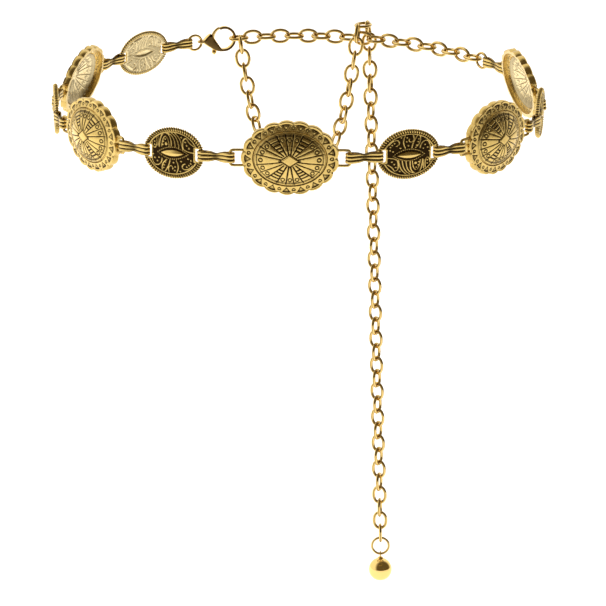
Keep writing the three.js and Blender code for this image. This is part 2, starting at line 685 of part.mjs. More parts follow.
function ballDrop() {
  const b = BALL;
  const eyeDrop = b.eyeRadius - b.eyeFlat - endFlat - SEAM;
  const ball = new THREE.SphereGeometry(b.diameter / 2, 16, 9).rotateX(Math.PI / 2).translate(0, 0, -b.drop);
  const cap = new THREE.CylinderGeometry(b.capRadius * 0.6, b.capRadius, b.capHeight, 12)
    .rotateX(Math.PI / 2).translate(0, 0, -b.drop + b.diameter / 2 + 0.3);
  const eye = wireRing(ovalPath(b.eyeRadius, b.eyeRadius, 10), b.eyeFlat)
    .rotateY(Math.PI / 2).translate(0, 0, -eyeDrop);
  return join([ball, cap, eye]);
}
const ball = new THREE.Mesh(ballDrop(), CHAIN_GOLD);
ball.name = "ball_drop";
ball.position.copy(endCentre).addScaledVector(UP, -endRadius);
belt.add(ball);

export default belt;
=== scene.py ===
"""The looks of an antique gold concho chain belt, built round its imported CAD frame.

Sizes are in millimetres until mesh_from() writes them in metres. Each piece is a grid of points
worked out with numpy, in the place that its CAD node has.
"""

import math

import bpy
import numpy as np
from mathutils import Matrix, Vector


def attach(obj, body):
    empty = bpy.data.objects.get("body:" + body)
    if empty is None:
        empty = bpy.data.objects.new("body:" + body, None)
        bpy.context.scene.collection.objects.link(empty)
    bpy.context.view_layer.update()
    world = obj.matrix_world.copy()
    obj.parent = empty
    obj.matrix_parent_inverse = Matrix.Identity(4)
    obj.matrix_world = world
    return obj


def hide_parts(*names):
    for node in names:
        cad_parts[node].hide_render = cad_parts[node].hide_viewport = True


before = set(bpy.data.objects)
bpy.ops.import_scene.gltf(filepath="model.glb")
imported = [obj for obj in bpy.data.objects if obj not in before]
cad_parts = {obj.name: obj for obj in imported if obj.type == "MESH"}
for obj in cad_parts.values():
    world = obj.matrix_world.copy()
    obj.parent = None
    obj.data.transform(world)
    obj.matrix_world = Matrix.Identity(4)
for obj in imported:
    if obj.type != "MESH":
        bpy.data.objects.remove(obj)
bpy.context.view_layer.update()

MM = 0.001

# The same driving sizes as the CAD source has, in millimetres.
WAIST = dict(depth_share=0.953, power=2.09, sag=3.84)
WEAR_TILT = math.radians(5.5)
FRONT_SHIFT = -0.026
SEAM = 0.3

CONCHO = dict(half_width=20, half_height=15.6, scallops=17, scallop_depth=0.95, wall=1,
              back=-1.7, shoulder=1.2, flange_rise=0.5, dome_width=15, dome_height=11.5, dome_rise=3.3,
              loop_reach=4.3, loop_height=7.6, loop_wire=1.15)
OVAL = dict(half_width=14, half_height=10.6, crown=1.3, slot_from=9.9, slot_to=12.2, slot_height=5.2)
STRAP = dict(length=11.8, rib=1.2, groove=0.3, band=0.6, hole_length=1.45, hole_depth=1.1)
LINK = dict(length=8.4, width=6.9, wire=1, bite=0.06)
# Half the side of a square wire over the width of the round wire with the same area.
FLAT_SHARE = math.sqrt(math.pi) / 4
LINK_FLAT = LINK["wire"] * FLAT_SHARE
LINK_HALF = (LINK["length"] - LINK["wire"]) / 2
PITCH = 2 * (LINK_HALF - LINK_FLAT) + LINK["bite"]
LOOSE_GAP = 0.45
LOOSE_PITCH = PITCH - LINK["bite"] - LOOSE_GAP
# The round wire as it is seen, a little thicker than the CAD's: of the links, and of rings and loops.
WIRE_SHOWN = 1.5
RING_WIRE_SHOWN = 1.2
# How fast the dark core of a wire, a painted dark reflection, fades round its section.
PAINTED_CORE_FALL = 20
BACK_STRETCHES = [7, 6, 6]
BACK_TWIST = math.radians(8)
SWAG_STRETCHES = [6, 6, 6, 6]
TAIL_LINKS = 38
TAIL_LEAN = math.radians(1.6)
# Degrees that the middle links of a hanging chain are turned, reached over so many links.
CHAIN_TWIST = 30
TWIST_EASE = 6
# Where the free chain leaves the clasped link and how it goes over the back chain.
WRAP = dict(swag_from=(0.1, -3.05, 0.9), swag_turn=80, over_link=9, over_half=(1.45, 3.4),
            over_height=6.3, up_direction=(0.1, 0.25, 0.96), down_direction=(0.15, 0.3, -0.94))
CLASP = dict(ring_radius=6, centre=5.35, opening=4.7, eye_at=16.35, eye_drop=-1.2, eye_radius=1.3,
             eye_wire=1)
JUMP_RING = dict(length=7.8, wire=0.9, slack=0.5)
LINK_TUCK = JUMP_RING["wire"] * FLAT_SHARE - JUMP_RING["slack"] / 2 + SEAM
HOOK_REACH = 1.95
END_RING = dict(diameter=9.2, wire=1)
END_FLAT = END_RING["wire"] * FLAT_SHARE
BALL = dict(diameter=11.4, eye_radius=1.4, eye_wire=0.7, eye_flat=0.31, drop=8)

CONCHO_PITCH = 2 * (CONCHO["half_width"] + CONCHO["loop_reach"])
OVAL_PITCH = OVAL["slot_to"] + OVAL["half_width"]
CLASP_LENGTH = math.hypot(CLASP["eye_at"], CLASP["eye_drop"])
JUMP_RING_STEP = JUMP_RING["length"] - JUMP_RING["wire"] - JUMP_RING["slack"]
PIECE_LENGTH = {"strap": STRAP["length"], "oval": OVAL_PITCH, "concho": CONCHO_PITCH}

RIGHT_SIDE = ["strap_01", "oval_right_front", "strap_02", "concho_right_front", "strap_03",
              "oval_right_side", "strap_04", "concho_right_back", "strap_05"]
LEFT_SIDE = ["strap_06", "oval_left_back", "strap_07", "concho_left_back", "strap_08",
             "oval_left_side", "strap_09", "concho_left_front", "strap_10", "oval_left_front",
             "strap_11"]

# How far some pieces lean about their own length, in degrees: positive where the top leans outward.
LEAN = dict(strap_06=-2, oval_left_back=-9, strap_07=-12, concho_left_back=-14, strap_08=-6,
            strap_10=-3, oval_left_front=-6, strap_11=-3,
            strap_04=-5, concho_right_back=-12, strap_05=-1)
# The ovals of the right side hang the other way up than those of the left side.
UPSIDE_DOWN = ["oval_right_front", "oval_right_side"]

# The photograph's viewpoint, fitted to the ring: millimetres and degrees.
CAMERA_PLACE = (1.936, -1225.4, 210.8)
CAMERA_DOWN = 14
CAMERA_LENS = 168.65
CAMERA_SENSOR = 36
FLOOR_LEVEL = -300
FLOOR_REACH = 6000
FLOOR_COLOUR = (0.93, 0.93, 0.93)
FLOOR_ROUGHNESS = 0.9
# The light over the floor: its place, the point under it, its width and depth, and its watts.
WASH_PLACE = (-700, 1300, 1800)
WASH_TARGET = (-700, 1300, 0)
WASH_SIZE = (2200, 3600)
WASH_WATTS = 88
# The direction of the dark part of the surroundings, and the cosines where it begins and is full.
DARK_SIDE = (0.52, -0.78, 0.35)
DARK_FROM = -0.08
DARK_FULL = 0.5
AIR_BRIGHT = (1.1, 1.07, 1.02)
AIR_DARK = (0.12, 0.094, 0.055)

BRIGHT = (0.82, 0.585, 0.19)
BROWN = (0.035, 0.019, 0.006)
PALE = (1.0, 0.83, 0.47)
CHAIN_BRIGHT = (1.0, 0.71, 0.25)
# The chain's brown is mostly a painted dark reflection along its wires and clasp, and partly stain.
CHAIN_STAIN_AND_REFLECTION_BROWN = (0.06, 0.027, 0.007)

HALVINGS = 50
# Faces that meet at more than this angle keep a sharp edge between them.
SHARP_ANGLE = math.radians(50)


# The layout of the ring and the chain

UP = np.array([0.0, 0.0, 1.0])
# Axes that stand a flat shape up.
STOOD_UP = np.array([[1.0, 0, 0], [0, 0, 1.0], [0, -1.0, 0]])


def unit(vector):
    """A vector of length 1 the same way."""
    return vector / np.linalg.norm(vector)


def waist_point(angle, half_width):
    """The point of the waist oval at this angle.

    It is half_width times (cos, depth share times sin), each raised to 2 over the oval's power with
    its sign kept. It lies lower at the sides, by the sag times the square of the first.
    """
    flat = (math.cos(angle), math.sin(angle))
    c, s = (math.copysign(abs(v) ** (2 / WAIST["power"]), v) for v in flat)
    return np.array([half_width * c, half_width * WAIST["depth_share"] * s, -WAIST["sag"] * c * c])


def halving(low, high, too_low):
    """The value between low and high up to which too_low is true, found by halving."""
    for _ in range(HALVINGS):
        half = (low + high) / 2
        if too_low(half):
            low = half
        else:
            high = half
    return half


def step_round(angle, length, half_width):
    """The angle where a straight step of this length ends on the oval."""
    start = waist_point(angle, half_width)

    def too_near(other):
        """True where the other angle is less than one step away."""
        return np.linalg.norm(waist_point(other, half_width) - start) < abs(length)

    return halving(angle, angle + math.copysign(1, length), too_near)


def pitches(stretches):
    """The step of each link: the first of every later stretch hangs a little loose."""
    return [LOOSE_PITCH if k and not i else PITCH
            for k, count in enumerate(stretches) for i in range(count)]


def kind_of(name):
    """The first word of a node's name: strap, oval or concho."""
    return name.split("_")[0]


def lay_out(half_width):
    """Walks once round the waist oval in straight steps: (place of each piece, of each link, overrun)."""
    angle = step_round(-math.pi / 2 + FRONT_SHIFT, CONCHO_PITCH / 2, half_width)
    start = angle
    places = {}

    def step(length):
        """Goes one straight step along the oval, and gives back its two ends."""
        nonlocal angle
        before = waist_point(angle, half_width)
        angle = step_round(angle, length, half_width)
        return before, waist_point(angle, half_width)

    for name in RIGHT_SIDE:
        places[name] = step(PIECE_LENGTH[kind_of(name)])
    places["chain_ring"] = step(JUMP_RING_STEP)
    step(-LINK_TUCK)
    links = [step(pitch) for pitch in pitches(BACK_STRETCHES)]
    step(HOOK_REACH - PITCH / 2)
    places["clasp"] = step(CLASP_LENGTH)
    places["clasp_ring"] = step(JUMP_RING_STEP)
    for name in LEFT_SIDE:
        places[name] = step(PIECE_LENGTH[kind_of(name)])
    places["concho_front"] = step(CONCHO_PITCH)
    return places, links, angle - start - 2 * math.pi


def closed_ring():
    """The layout on the oval whose size lets the pieces go just once round."""
    half_width = halving(80, 140, lambda trial: lay_out(trial)[2] > 0)
    places, links, _ = lay_out(half_width)
    return places, links


def tilted(point):
    """A point or direction of the level ring, turned about X as the ring is worn."""
    c, s = math.cos(WEAR_TILT), math.sin(WEAR_TILT)
    return np.array([point[0], c * point[1] - s * point[2], s * point[1] + c * point[2]])


def frame_of(start, end, hint):
    """Unit axes as rows: x from start to end, y as near the hint as it can be, z across both."""
    x = unit(end - start)
    y = unit(hint - x * (x @ hint))
    return np.array([x, y, np.cross(x, y)])


def leaning(degrees):
    """Axes turned about the first of them, as a matrix of rows."""
    c, s = math.cos(math.radians(degrees)), math.sin(math.radians(degrees))
    return np.array([[1, 0, 0], [0, c, s], [0, -s, c]])


def placed(points, axes, middle):
    """Local points in a place: each coordinate along its own axis, from the middle."""
    return points @ axes + middle


def hang(start, end, lengths):
    """Joints of a slack chain: each link's slope grows by the same step, as with equal weights."""
    across = np.array([end[0] - start[0], end[1] - start[1], 0])
    span = np.linalg.norm(across)
    across = across / span
    count = np.arange(len(lengths))

    def joints(tension, lowest):
        """The joints for this sideways pull with the lowest point at this link."""
        slope = np.arctan2(count - lowest, tension)
        steps = np.cos(slope)[:, None] * across + np.sin(slope)[:, None] * UP
        return start + np.vstack([np.zeros(3), np.cumsum(steps * np.array(lengths)[:, None], 0)])

    def lowest_for(tension):
        """The lowest point with which the chain ends at the right height."""
        return halving(0, len(lengths), lambda m: joints(tension, m)[-1][2] > end[2])

    def too_short(tension):
        """True where this pull leaves the chain's end short of the span."""
        last = joints(tension, lowest_for(tension))[-1]
        return np.hypot(last[0] - start[0], last[1] - start[1]) < span

    tension = halving(0.01, 60, too_short)
    return joints(tension, lowest_for(tension))


def link_place(start, end, hint):
    """Axes and middle of a link whose far joint is the end of its step."""
    axes = frame_of(start, end, hint)
    return axes, end - axes[0] * PITCH / 2


def chain_along(joints, side, turns):
    """Link places from joint to joint; side is the normal of their plane, a turn of 0 lies in it."""
    places = []
    for start, end, turn in zip(joints[:-1], joints[1:], turns):
        across = unit(np.cross(side, end - start))
        angle = math.radians(turn)
        places.append(link_place(start, end, across * math.cos(angle) + side * math.sin(angle)))
    return places


def eased_twist(i, count):
    """Degrees that a hanging link is turned about its length: none at both ends of the chain."""
    return CHAIN_TWIST * min(1, i / TWIST_EASE, (count - 1 - i) / TWIST_EASE)


def stretches_of(places, counts):
    """Splits a list of link places into stretches of these lengths."""
    ends = np.cumsum(counts)
    return [places[end - count:end] for end, count in zip(ends, counts)]


def chain_places():
    """The link places of each chain node, and where the tail ends."""
    _, steps = closed_ring()
    back = []
    for i, (start, end) in enumerate(steps):
        start, end = tilted(start), tilted(end)
        along = unit(end - start)
        hint = tilted(UP) if i % 2 else unit(np.cross(tilted(UP), along))
        twist = -BACK_TWIST * math.sin(math.pi * i / (len(steps) - 1))
        flat = hint - along * (along @ hint)
        turned = flat * math.cos(twist) + np.cross(along, flat) * math.sin(twist)
        back.append(link_place(start, end, turned))

    def beside(index, along, outward, up):
        """A point beside a link of the back chain, and its own along and outward axes."""
        start, end = tilted(steps[index][0]), tilted(steps[index][1])
        x = unit(end - start)
        out = -unit(np.cross(tilted(UP), x))
        return (start + end) / 2 + along * x + outward * out + up * tilted(UP), x, out

    swag_start = beside(-1, *WRAP["swag_from"])[0]
    half_along, half_out = WRAP["over_half"]
    over_start, along, out = beside(WRAP["over_link"], half_along, -half_out, WRAP["over_height"])
    over_end = beside(WRAP["over_link"], -half_along, half_out, WRAP["over_height"])[0]
    swag_end = over_start - unit(np.array(WRAP["up_direction"])) * LOOSE_PITCH
    tail_start = over_end + unit(np.array(WRAP["down_direction"])) * PITCH
    over = [link_place(swag_end, over_start, out), link_place(over_start, over_end, along),
            link_place(over_end, tail_start, out)]

    swag_joints = hang(swag_start, swag_end, pitches(SWAG_STRETCHES))
    count = len(swag_joints) - 1
    first = WRAP["swag_turn"]
    made_up = (90 - first) / (count - 1)
    turns = [first + 90 * i + made_up * i + eased_twist(i, count) for i in range(count)]
    side = unit(np.cross(UP, swag_end - swag_start))
    swag = chain_along(swag_joints, side, turns)

    down = np.array([math.sin(TAIL_LEAN), 0, -math.cos(TAIL_LEAN)])
    drops = [0] + [LOOSE_PITCH + i * PITCH for i in range(TAIL_LINKS)]
    tail_joints = [tail_start + drop * down for drop in drops]
    tail_turns = [90 * i + eased_twist(i, TAIL_LINKS) for i in range(TAIL_LINKS)]
    tail = chain_along(tail_joints, np.array([0.0, 1.0, 0.0]), tail_turns)

    chains = {}
    for name, places, counts in (("back", back, BACK_STRETCHES), ("swag", swag, SWAG_STRETCHES)):
        for number, part in enumerate(stretches_of(places, counts), 1):
            chains[f"chain_{name}_{number}"] = part
    chains["chain_over"] = over
    chains["chain_tail"] = tail
    return chains, tail_joints[-1]


# Surfaces: a shape is a dictionary of points, faces and the two tones of each point

def grid_shape(rows, ring=False, antique=None, inside=None):
    """A shape from an array of rows of points whose columns wrap round.

    Neighbouring rows are joined by quads, and the last row to the first if ring is true. Otherwise
    each end row is closed by a fan round its own mean point. The faces are turned outwards.
    """
    count, columns, _ = rows.shape
    antique = np.zeros((count, columns)) if antique is None else antique
    inside = np.zeros((count, columns)) if inside is None else inside
    r = np.arange(count if ring else count - 1)[:, None]
    c = np.arange(columns)[None, :]
    here, there = r * columns, ((r + 1) % count) * columns
    after = (c + 1) % columns
    quads = np.stack([here + c, here + after, there + after, there + c], -1).reshape(-1, 4)
    points = rows.reshape(-1, 3)
    tones = [antique.ravel(), inside.ravel()]
    fans = np.zeros((0, 3), int)
    if not ring:
        points = np.vstack([points, rows[0].mean(0), rows[-1].mean(0)])
        tones = [np.append(t, [t[:columns].mean(), t[-columns:].mean()]) for t in tones]
        first = np.arange(columns)
        second = (first + 1) % columns
        low = np.stack([second, first, np.full(columns, count * columns)], 1)
        last = (count - 1) * columns
        high = np.stack([last + first, last + second, np.full(columns, count * columns + 1)], 1)
        fans = np.vstack([low, high])
    halves = np.vstack([quads[:, [0, 1, 2]], quads[:, [0, 2, 3]], fans])
    a, b, d = points[halves[:, 0]], points[halves[:, 1]], points[halves[:, 2]]
    if np.einsum("ij,ij->i", a, np.cross(b, d)).sum() < 0:
        quads, fans = quads[:, ::-1], fans[:, ::-1]
    return dict(points=points, quads=quads, fans=fans, antique=tones[0], inside=tones[1])


def merged(shapes):
    """Several shapes as one, with the faces of each counted on from the points before it."""
    starts = np.cumsum([0] + [len(s["points"]) for s in shapes[:-1]])
    fields = ("points", "antique", "inside")
    whole = {key: np.concatenate([s[key] for s in shapes]) for key in fields}
    for key in ("quads", "fans"):
        whole[key] = np.concatenate([s[key] + start for s, start in zip(shapes, starts)])
    return whole


def moved(shape, axes, middle):
    """The shape with its points placed on these axes round this middle."""
    return dict(shape, points=placed(shape["points"], axes, middle))


def add_object(name, data):
    """A new object in the scene with this data."""
    obj = bpy.data.objects.new(name, data)
    bpy.context.scene.collection.objects.link(obj)
    return obj


def mesh_from(name, shape):
    """A smooth mesh object in metres with the shape's tones as point attributes."""
    mesh = bpy.data.meshes.new(name)
    faces = shape["quads"].tolist() + shape["fans"].tolist()
    mesh.from_pydata((shape["points"] * MM).tolist(), [], faces)
    for tone in ("antique", "inside"):
        layer = mesh.attributes.new(tone, "FLOAT", "POINT")
        layer.data.foreach_set("value", shape[tone].astype(np.float32))
    mesh.polygons.foreach_set("use_smooth", np.ones(len(mesh.polygons), bool))
    mesh.set_sharp_from_angle(angle=SHARP_ANGLE)
    return add_object(name, mesh)


def around(count):
    """Evenly spaced angles of one turn."""
    return np.arange(count) * 2 * math.pi / count


def signed_power(value, power):
    """The value raised to a power with its sign kept; a power under 1 makes a circle squarer."""
    return np.sign(value) * np.abs(value) ** power


def slanted(angle, half_width, half_height):
    """The angle shifted by a share of the sine of its double, which spaces points evenly on an oval."""
    return angle + (half_width - half_height) / (2 * (half_width + half_height)) * np.sin(2 * angle)


def oval_at(angle, half_width, half_height, power=1):
    """Flat points of an oval: half_width times cos and half_height times sin, raised to the power."""
    return np.stack([half_width * signed_power(np.cos(angle), power),
                     half_height * signed_power(np.sin(angle), power)], -1)


def with_height(flat, height):
    """Rows of points in space from rows of flat points and their heights."""
    return np.concatenate([flat, np.broadcast_to(height, flat.shape[:2])[..., None]], -1)


def normals_of(path, ring=False):
    """The flat normal at each point of a path: its direction turned by a right angle."""
    along = np.roll(path, -1, 0) - np.roll(path, 1, 0) if ring else np.gradient(path, axis=0)
    along = along / np.linalg.norm(along, axis=1)[:, None]
    return np.stack([along[:, 1], -along[:, 0]], 1)


def tube(path, outward, upward, ring=False):
    """Rows of points round a flat path: outward along its normal and upward from its plane."""
    normal = normals_of(path, ring)
    return with_height(path[:, None, :] + normal[:, None, :] * outward[:, :, None], upward)


def carried(path, across, thick, sides=12, ring=False, roundness=1.0, core=0.0):
    """A section carried along a flat path: path plus normal times across times cos, up thick times sin.

    across and thick are the section's half sizes at each point of the path. A roundness under 1
    makes the section fuller than an ellipse, by raising the sine and cosine to that power.
    core is the tone of a painted dark reflection along the four sides of the section, and it
    fades between them.
    """
    angle = around(sides)
    across = np.broadcast_to(across, len(path))[:, None]
    thick = np.broadcast_to(thick, len(path))[:, None]
    outward = across * signed_power(np.cos(angle), roundness)
    upward = thick * signed_power(np.sin(angle), roundness)
    rows = tube(path, outward, upward, ring)
    # The core is painted shade: a dark reflection painted along the middle of each side of the wire.
    tone = core * np.maximum(np.abs(np.cos(angle)), np.abs(np.sin(angle))) ** PAINTED_CORE_FALL
    return grid_shape(rows, ring, antique=np.broadcast_to(tone, rows.shape[:2]))


def turned_profile(radii, heights, sides=48):
    """A surface of revolution about Z: each row is a circle of one radius at one height."""
    radii = np.asarray(radii)[:, None]
    circles = oval_at(around(sides)[None, :], radii, radii)
    return grid_shape(with_height(circles, np.asarray(heights)[:, None]))


def smooth_path(corners, count, ring=False):
    """Points evenly spread on a Catmull-Rom curve through the corners."""
    corners = np.asarray(corners, float)
    if ring:
        corners = np.vstack([corners[-1:], corners, corners[:2]])
    else:
        corners = np.vstack([2 * corners[0] - corners[1], corners, 2 * corners[-1] - corners[-2]])
    spans = len(corners) - 3
    t = np.linspace(0, spans, 20 * spans + 1)
    k = np.minimum(t.astype(int), spans - 1)
    f = (t - k)[:, None]
    p0, p1, p2, p3 = (corners[k + i] for i in range(4))
    curve = 0.5 * (2 * p1 + (p2 - p0) * f + (2 * p0 - 5 * p1 + 4 * p2 - p3) * f ** 2
                   + (3 * p1 - p0 - 3 * p2 + p3) * f ** 3)
    gone = np.append(0, np.cumsum(np.linalg.norm(np.diff(curve, axis=0), axis=1)))
    wanted = np.linspace(0, gone[-1], count, endpoint=not ring)
    return np.stack([np.interp(wanted, gone, curve[:, i]) for i in range(curve.shape[1])], 1)


def ramp(value, low, high):
    """0 below low, 1 above high and a smooth rise between them."""
    t = np.clip((value - low) / (high - low), 0, 1)
    return t * t * (3 - 2 * t)


def stroke(distance, width, soft=0.12):
    """1 on a line of this width where distance is measured from its middle, 0 off it."""
    return 1 - ramp(np.abs(distance), width / 2 - soft / 2, width / 2 + soft)


# Big conchos

# The lines between the petals of one quarter, in degrees, and the two on either side of the ladder.
PETAL_LINES = [12, 30.5, 47, 67, 83]
LADDER_LINES = (47, 67)
# One scallop along the edge, and the skirt from the dome's foot to the edge.
SCALLOP_WIDTH = 6.2
SKIRT_WIDTH = 4.4
# How far the skirt's sloping front stands above the plain flange at the dome and below it outside.
SKIRT_LIFT = 0.2
SKIRT_DROP = 0.15
# From the scalloped edge in to the wall's inner side.
RIM = 1.95
# Rows of points on a concho: on its wall, on the wall's inner side and on its back.
WALL_ROWS = 5
INNER_ROWS = 4
BACK_ROWS = 26


def petal_edges():
    """Angles of the lines between the petals of one quarter, mirrored into all four."""
    quarter = np.radians(PETAL_LINES)
    half = np.concatenate([quarter, math.pi - quarter[::-1]])
    return np.concatenate([half, half + math.pi])


def scallop_bump(angle_share):
    """How far the edge lies inside its oval: 0 on top of a scallop, the scallop depth between two."""
    v = (angle_share * CONCHO["scallops"]) % 1
    return CONCHO["scallop_depth"] * (np.sin(math.pi * v) ** 0.7 - 1)


def concho_relief(share, angle, x, y):
    """Height to add and antique tone on the front of a concho.

    share runs from 0 in the middle to 1 at the dome's foot and 2 at the scalloped edge, and angle
    is measured on the dome's own oval. Lines are cut where the distance to them is small: a stroke
    takes that distance, the line's width and its softness, and a cut its depth, in millimetres.
    """
    dark = np.zeros_like(share)
    rise = np.zeros_like(share)
    radius = np.hypot(x, y)

    def cut(mask, depth, tone=1.0):
        """Darkens the front where the mask is, and lowers it there by the depth."""
        nonlocal dark, rise
        dark = np.maximum(dark, mask * tone)
        rise = rise - mask * depth

    # Petals: lines between them, a small circle near each outer end, rungs on the four diagonals.
    edges = petal_edges()
    to_edge = np.abs(turn_between(angle[..., None], edges)).min(-1) * radius
    in_petals = (1 - ramp(share, 0.925, 0.945)) * ramp(share, 0.2, 0.24)
    cut(stroke(to_edge, 0.44, 0.1) * in_petals, 0.26)
    rise += 0.05 * ramp(to_edge, 0, 1.0) * in_petals
    middles = (edges + np.append(edges[1:], edges[0] + 2 * math.pi)) / 2
    for middle in middles:
        if is_ladder(middle):
            rung = stroke(off_middle((share - 0.36) * 9) * 1.3, 0.56, 0.14)
            aside = np.abs(turn_between(angle, middle))
            within = (aside < math.radians(8.6)) * ramp(share, 0.36, 0.37) * (1 - ramp(share, 0.8, 0.81))
            cut(rung * within, 0.2)
        else:
            centre = oval_at(middle, CONCHO["dome_width"], CONCHO["dome_height"]) * circle_share(middle)
            cut(stroke(np.hypot(x - centre[0], y - centre[1]) - 0.74, 0.42, 0.08), 0.2)

    # A hatched block beyond the circle of each petal, with an inner edge that bows inwards.
    in_block = ramp(to_edge, 0.26, 0.4)
    block = ramp(share - circle_share(angle), 0.085, 0.1) * (1 - ramp(share, 0.915, 0.93))
    tick = stroke(off_middle(angle * 24) * 0.62, 0.34, 0.08)
    cut(block * in_block * (0.35 + 0.65 * tick), 0.16)

    # Two lines round the foot of the dome.
    cut(stroke((share - 0.965) * 13, 0.2, 0.08), 0.16, 0.7)
    cut(stroke((share - 1.02) * 13, 0.46, 0.1), 0.35)

    # The lozenge in the middle, raised, with a toothed edge and a dark star round it.
    tooth = 0.11 * np.abs(off_middle(angle * 20 / (2 * math.pi)))
    reach = np.abs(x) / 3.5 + np.abs(y) / 2.35 + tooth
    cut(stroke((reach - 1.15) * 2.4, 0.42, 0.14), 0.26)
    rise += 0.25 * (1 - ramp(reach, 0.9, 1.0))
    for side in (-1, 1):
        cut(stroke(np.hypot(x - side * 4.1, y) - 0.36, 0.24, 0.08), 0.12)

    # Scallops: a raised lip, a triangle with a hatched foot in each, a small circle between two.
    turn = angle / (2 * math.pi) * CONCHO["scallops"]
    across = off_middle(turn) * SCALLOP_WIDTH
    skirt = ramp(share, 1.1, 1.16)
    depth = (share - 1) * SKIRT_WIDTH
    half = np.clip((depth - 0.8) * 0.72, 0, None)
    triangle = np.maximum(np.abs(across) - half, np.maximum(0.8 - depth, depth - 2.85))
    cut(stroke(triangle, 0.42, 0.1) * skirt, 0.22)
    foot = (1 - ramp(triangle, -0.1, 0.1)) * ramp(depth, 1.95, 2.1)
    cut(foot * (0.35 + 0.65 * (0.5 + 0.5 * np.cos(across * 11))) * skirt, 0.14, 0.9)
    between = off_middle(turn + 0.5) * SCALLOP_WIDTH
    cut(stroke(np.hypot(between, depth - 2.0) - 0.64, 0.4, 0.1) * skirt, 0.2)
    rise += 0.2 * stroke(share - 1.9, 0.12, 0.08)
    valley = ramp(np.abs(across), 2.55, 3.1) * ramp(share, 1.7, 1.95)
    cut(valley * 0.8, 0.35, 0.7)
    return rise, np.clip(dark, 0, 1)


def is_ladder(middle):
    """True for the four diagonal petals."""
    folded = math.degrees(math.acos(abs(math.cos(middle))))
    return LADDER_LINES[0] < folded < LADDER_LINES[1]


def circle_share(angle):
    """The share of the dome's oval where the small circle of a petal sits."""
    return 0.73 + 0.06 * np.abs(np.cos(angle))


def turn_between(angle, other):
    """The angle from other to angle by the shorter way round."""
    return (angle - other + math.pi) % (2 * math.pi) - math.pi


def off_middle(steps):
    """How far a count of steps lies past the middle of its whole step, from -0.5 to 0.5."""
    return steps % 1 - 0.5


def dome_height(share):
    """Height of the plain dome: a lip at its foot and a round crown, from the CAD rings."""
    flange = CONCHO["shoulder"] + CONCHO["flange_rise"]
    rise = CONCHO["dome_rise"]
    steps = [0, 0.18, 0.36, 0.52, 0.68, 0.82, 0.94, 0.985, 1.0]
    levels = [rise, 0.98 * rise, 0.92 * rise, 0.79 * rise, 0.62 * rise, 0.4 * rise, 0.55, 0.3, 0.02]
    return flange + np.interp(share, steps, levels)


def rings_to(edge, foot, share, reach):
    """Rings of points: the foot's oval times the share up to 1, and beyond it on the way to the edge.

    The edge is reached where the share is 1 and the reach more.
    """
    share = share[..., None]
    way = np.clip(share - 1, 0, 1) / reach
    return np.where(share <= 1, foot * share, foot * (1 - way) + edge * way)


def concho_shell():
    """A concho's shell as rings from the middle of the front, over the edge, to the middle behind.

    Inside the dome each ring is the dome's oval times its share. Beyond it a ring lies between the
    dome's oval and the scalloped edge. Behind, the rings go back inwards under the wall.
    """
    c = CONCHO
    columns = 360
    angle = around(columns)[None, :]
    share_round = angle / (2 * math.pi)
    edge_angle = slanted(angle, c["half_width"], c["half_height"])
    bump = scallop_bump(share_round)
    edge = oval_at(edge_angle, c["half_width"] + bump, c["half_height"] + bump)
    foot = oval_at(angle, c["dome_width"], c["dome_height"])
    inner_edge = oval_at(edge_angle, c["half_width"] - RIM, c["half_height"] - RIM)

    front = np.concatenate([np.linspace(0.03, 1, 66), np.linspace(1.03, 1.98, 34)])[:, None]
    flat = rings_to(edge, foot, front, 1)
    x, y = flat[..., 0], flat[..., 1]
    share = np.broadcast_to(front, x.shape)
    rise, dark = concho_relief(share, np.broadcast_to(angle, x.shape), x, y)
    flange = c["shoulder"] + c["flange_rise"]
    skirt_top = flange + SKIRT_LIFT
    skirt_foot = c["shoulder"] - SKIRT_DROP
    skirt = skirt_top + (skirt_foot - skirt_top) * np.clip(share - 1, 0, 1)
    front_rows = with_height(flat, np.where(share <= 1, dome_height(share), skirt) + rise)

    wall_z = np.linspace(skirt_foot - 0.12, c["back"], WALL_ROWS)[:, None]
    rounding = 0.25 * (np.abs(np.linspace(-1, 1, WALL_ROWS)) ** 3)[:, None, None]
    outward = edge / np.linalg.norm(edge, axis=-1, keepdims=True)
    wall_rows = with_height(edge - outward * rounding, wall_z)
    inner_z = np.linspace(c["back"], c["shoulder"] - c["wall"], INNER_ROWS)[:, None]
    inner_rows = with_height(np.broadcast_to(inner_edge, (INNER_ROWS, columns, 2)), inner_z)

    behind = np.linspace(1.5, 0.03, BACK_ROWS)[:, None]
    back_share = np.broadcast_to(behind, (BACK_ROWS, columns))
    back_flat = rings_to(inner_edge, foot, behind, 0.5)
    back_rise, back_dark = concho_relief(back_share, np.broadcast_to(angle, back_share.shape),
                                         back_flat[..., 0], back_flat[..., 1])
    back_z = np.where(back_share <= 1, dome_height(back_share), flange) - c["wall"] + 0.8 * back_rise
    back_rows = with_height(back_flat, back_z)

    rows = np.concatenate([front_rows, wall_rows, inner_rows, back_rows])
    wall_tone = np.full((WALL_ROWS, columns), 0.12)
    inner_tone = np.full((INNER_ROWS, columns), 0.1)
    antique = np.concatenate([dark, wall_tone, inner_tone, back_dark * 0.6])
    inside = np.concatenate([np.zeros(dark.shape), 0 * wall_tone, inner_tone, np.ones(back_dark.shape)])
    return grid_shape(rows, antique=antique, inside=inside)


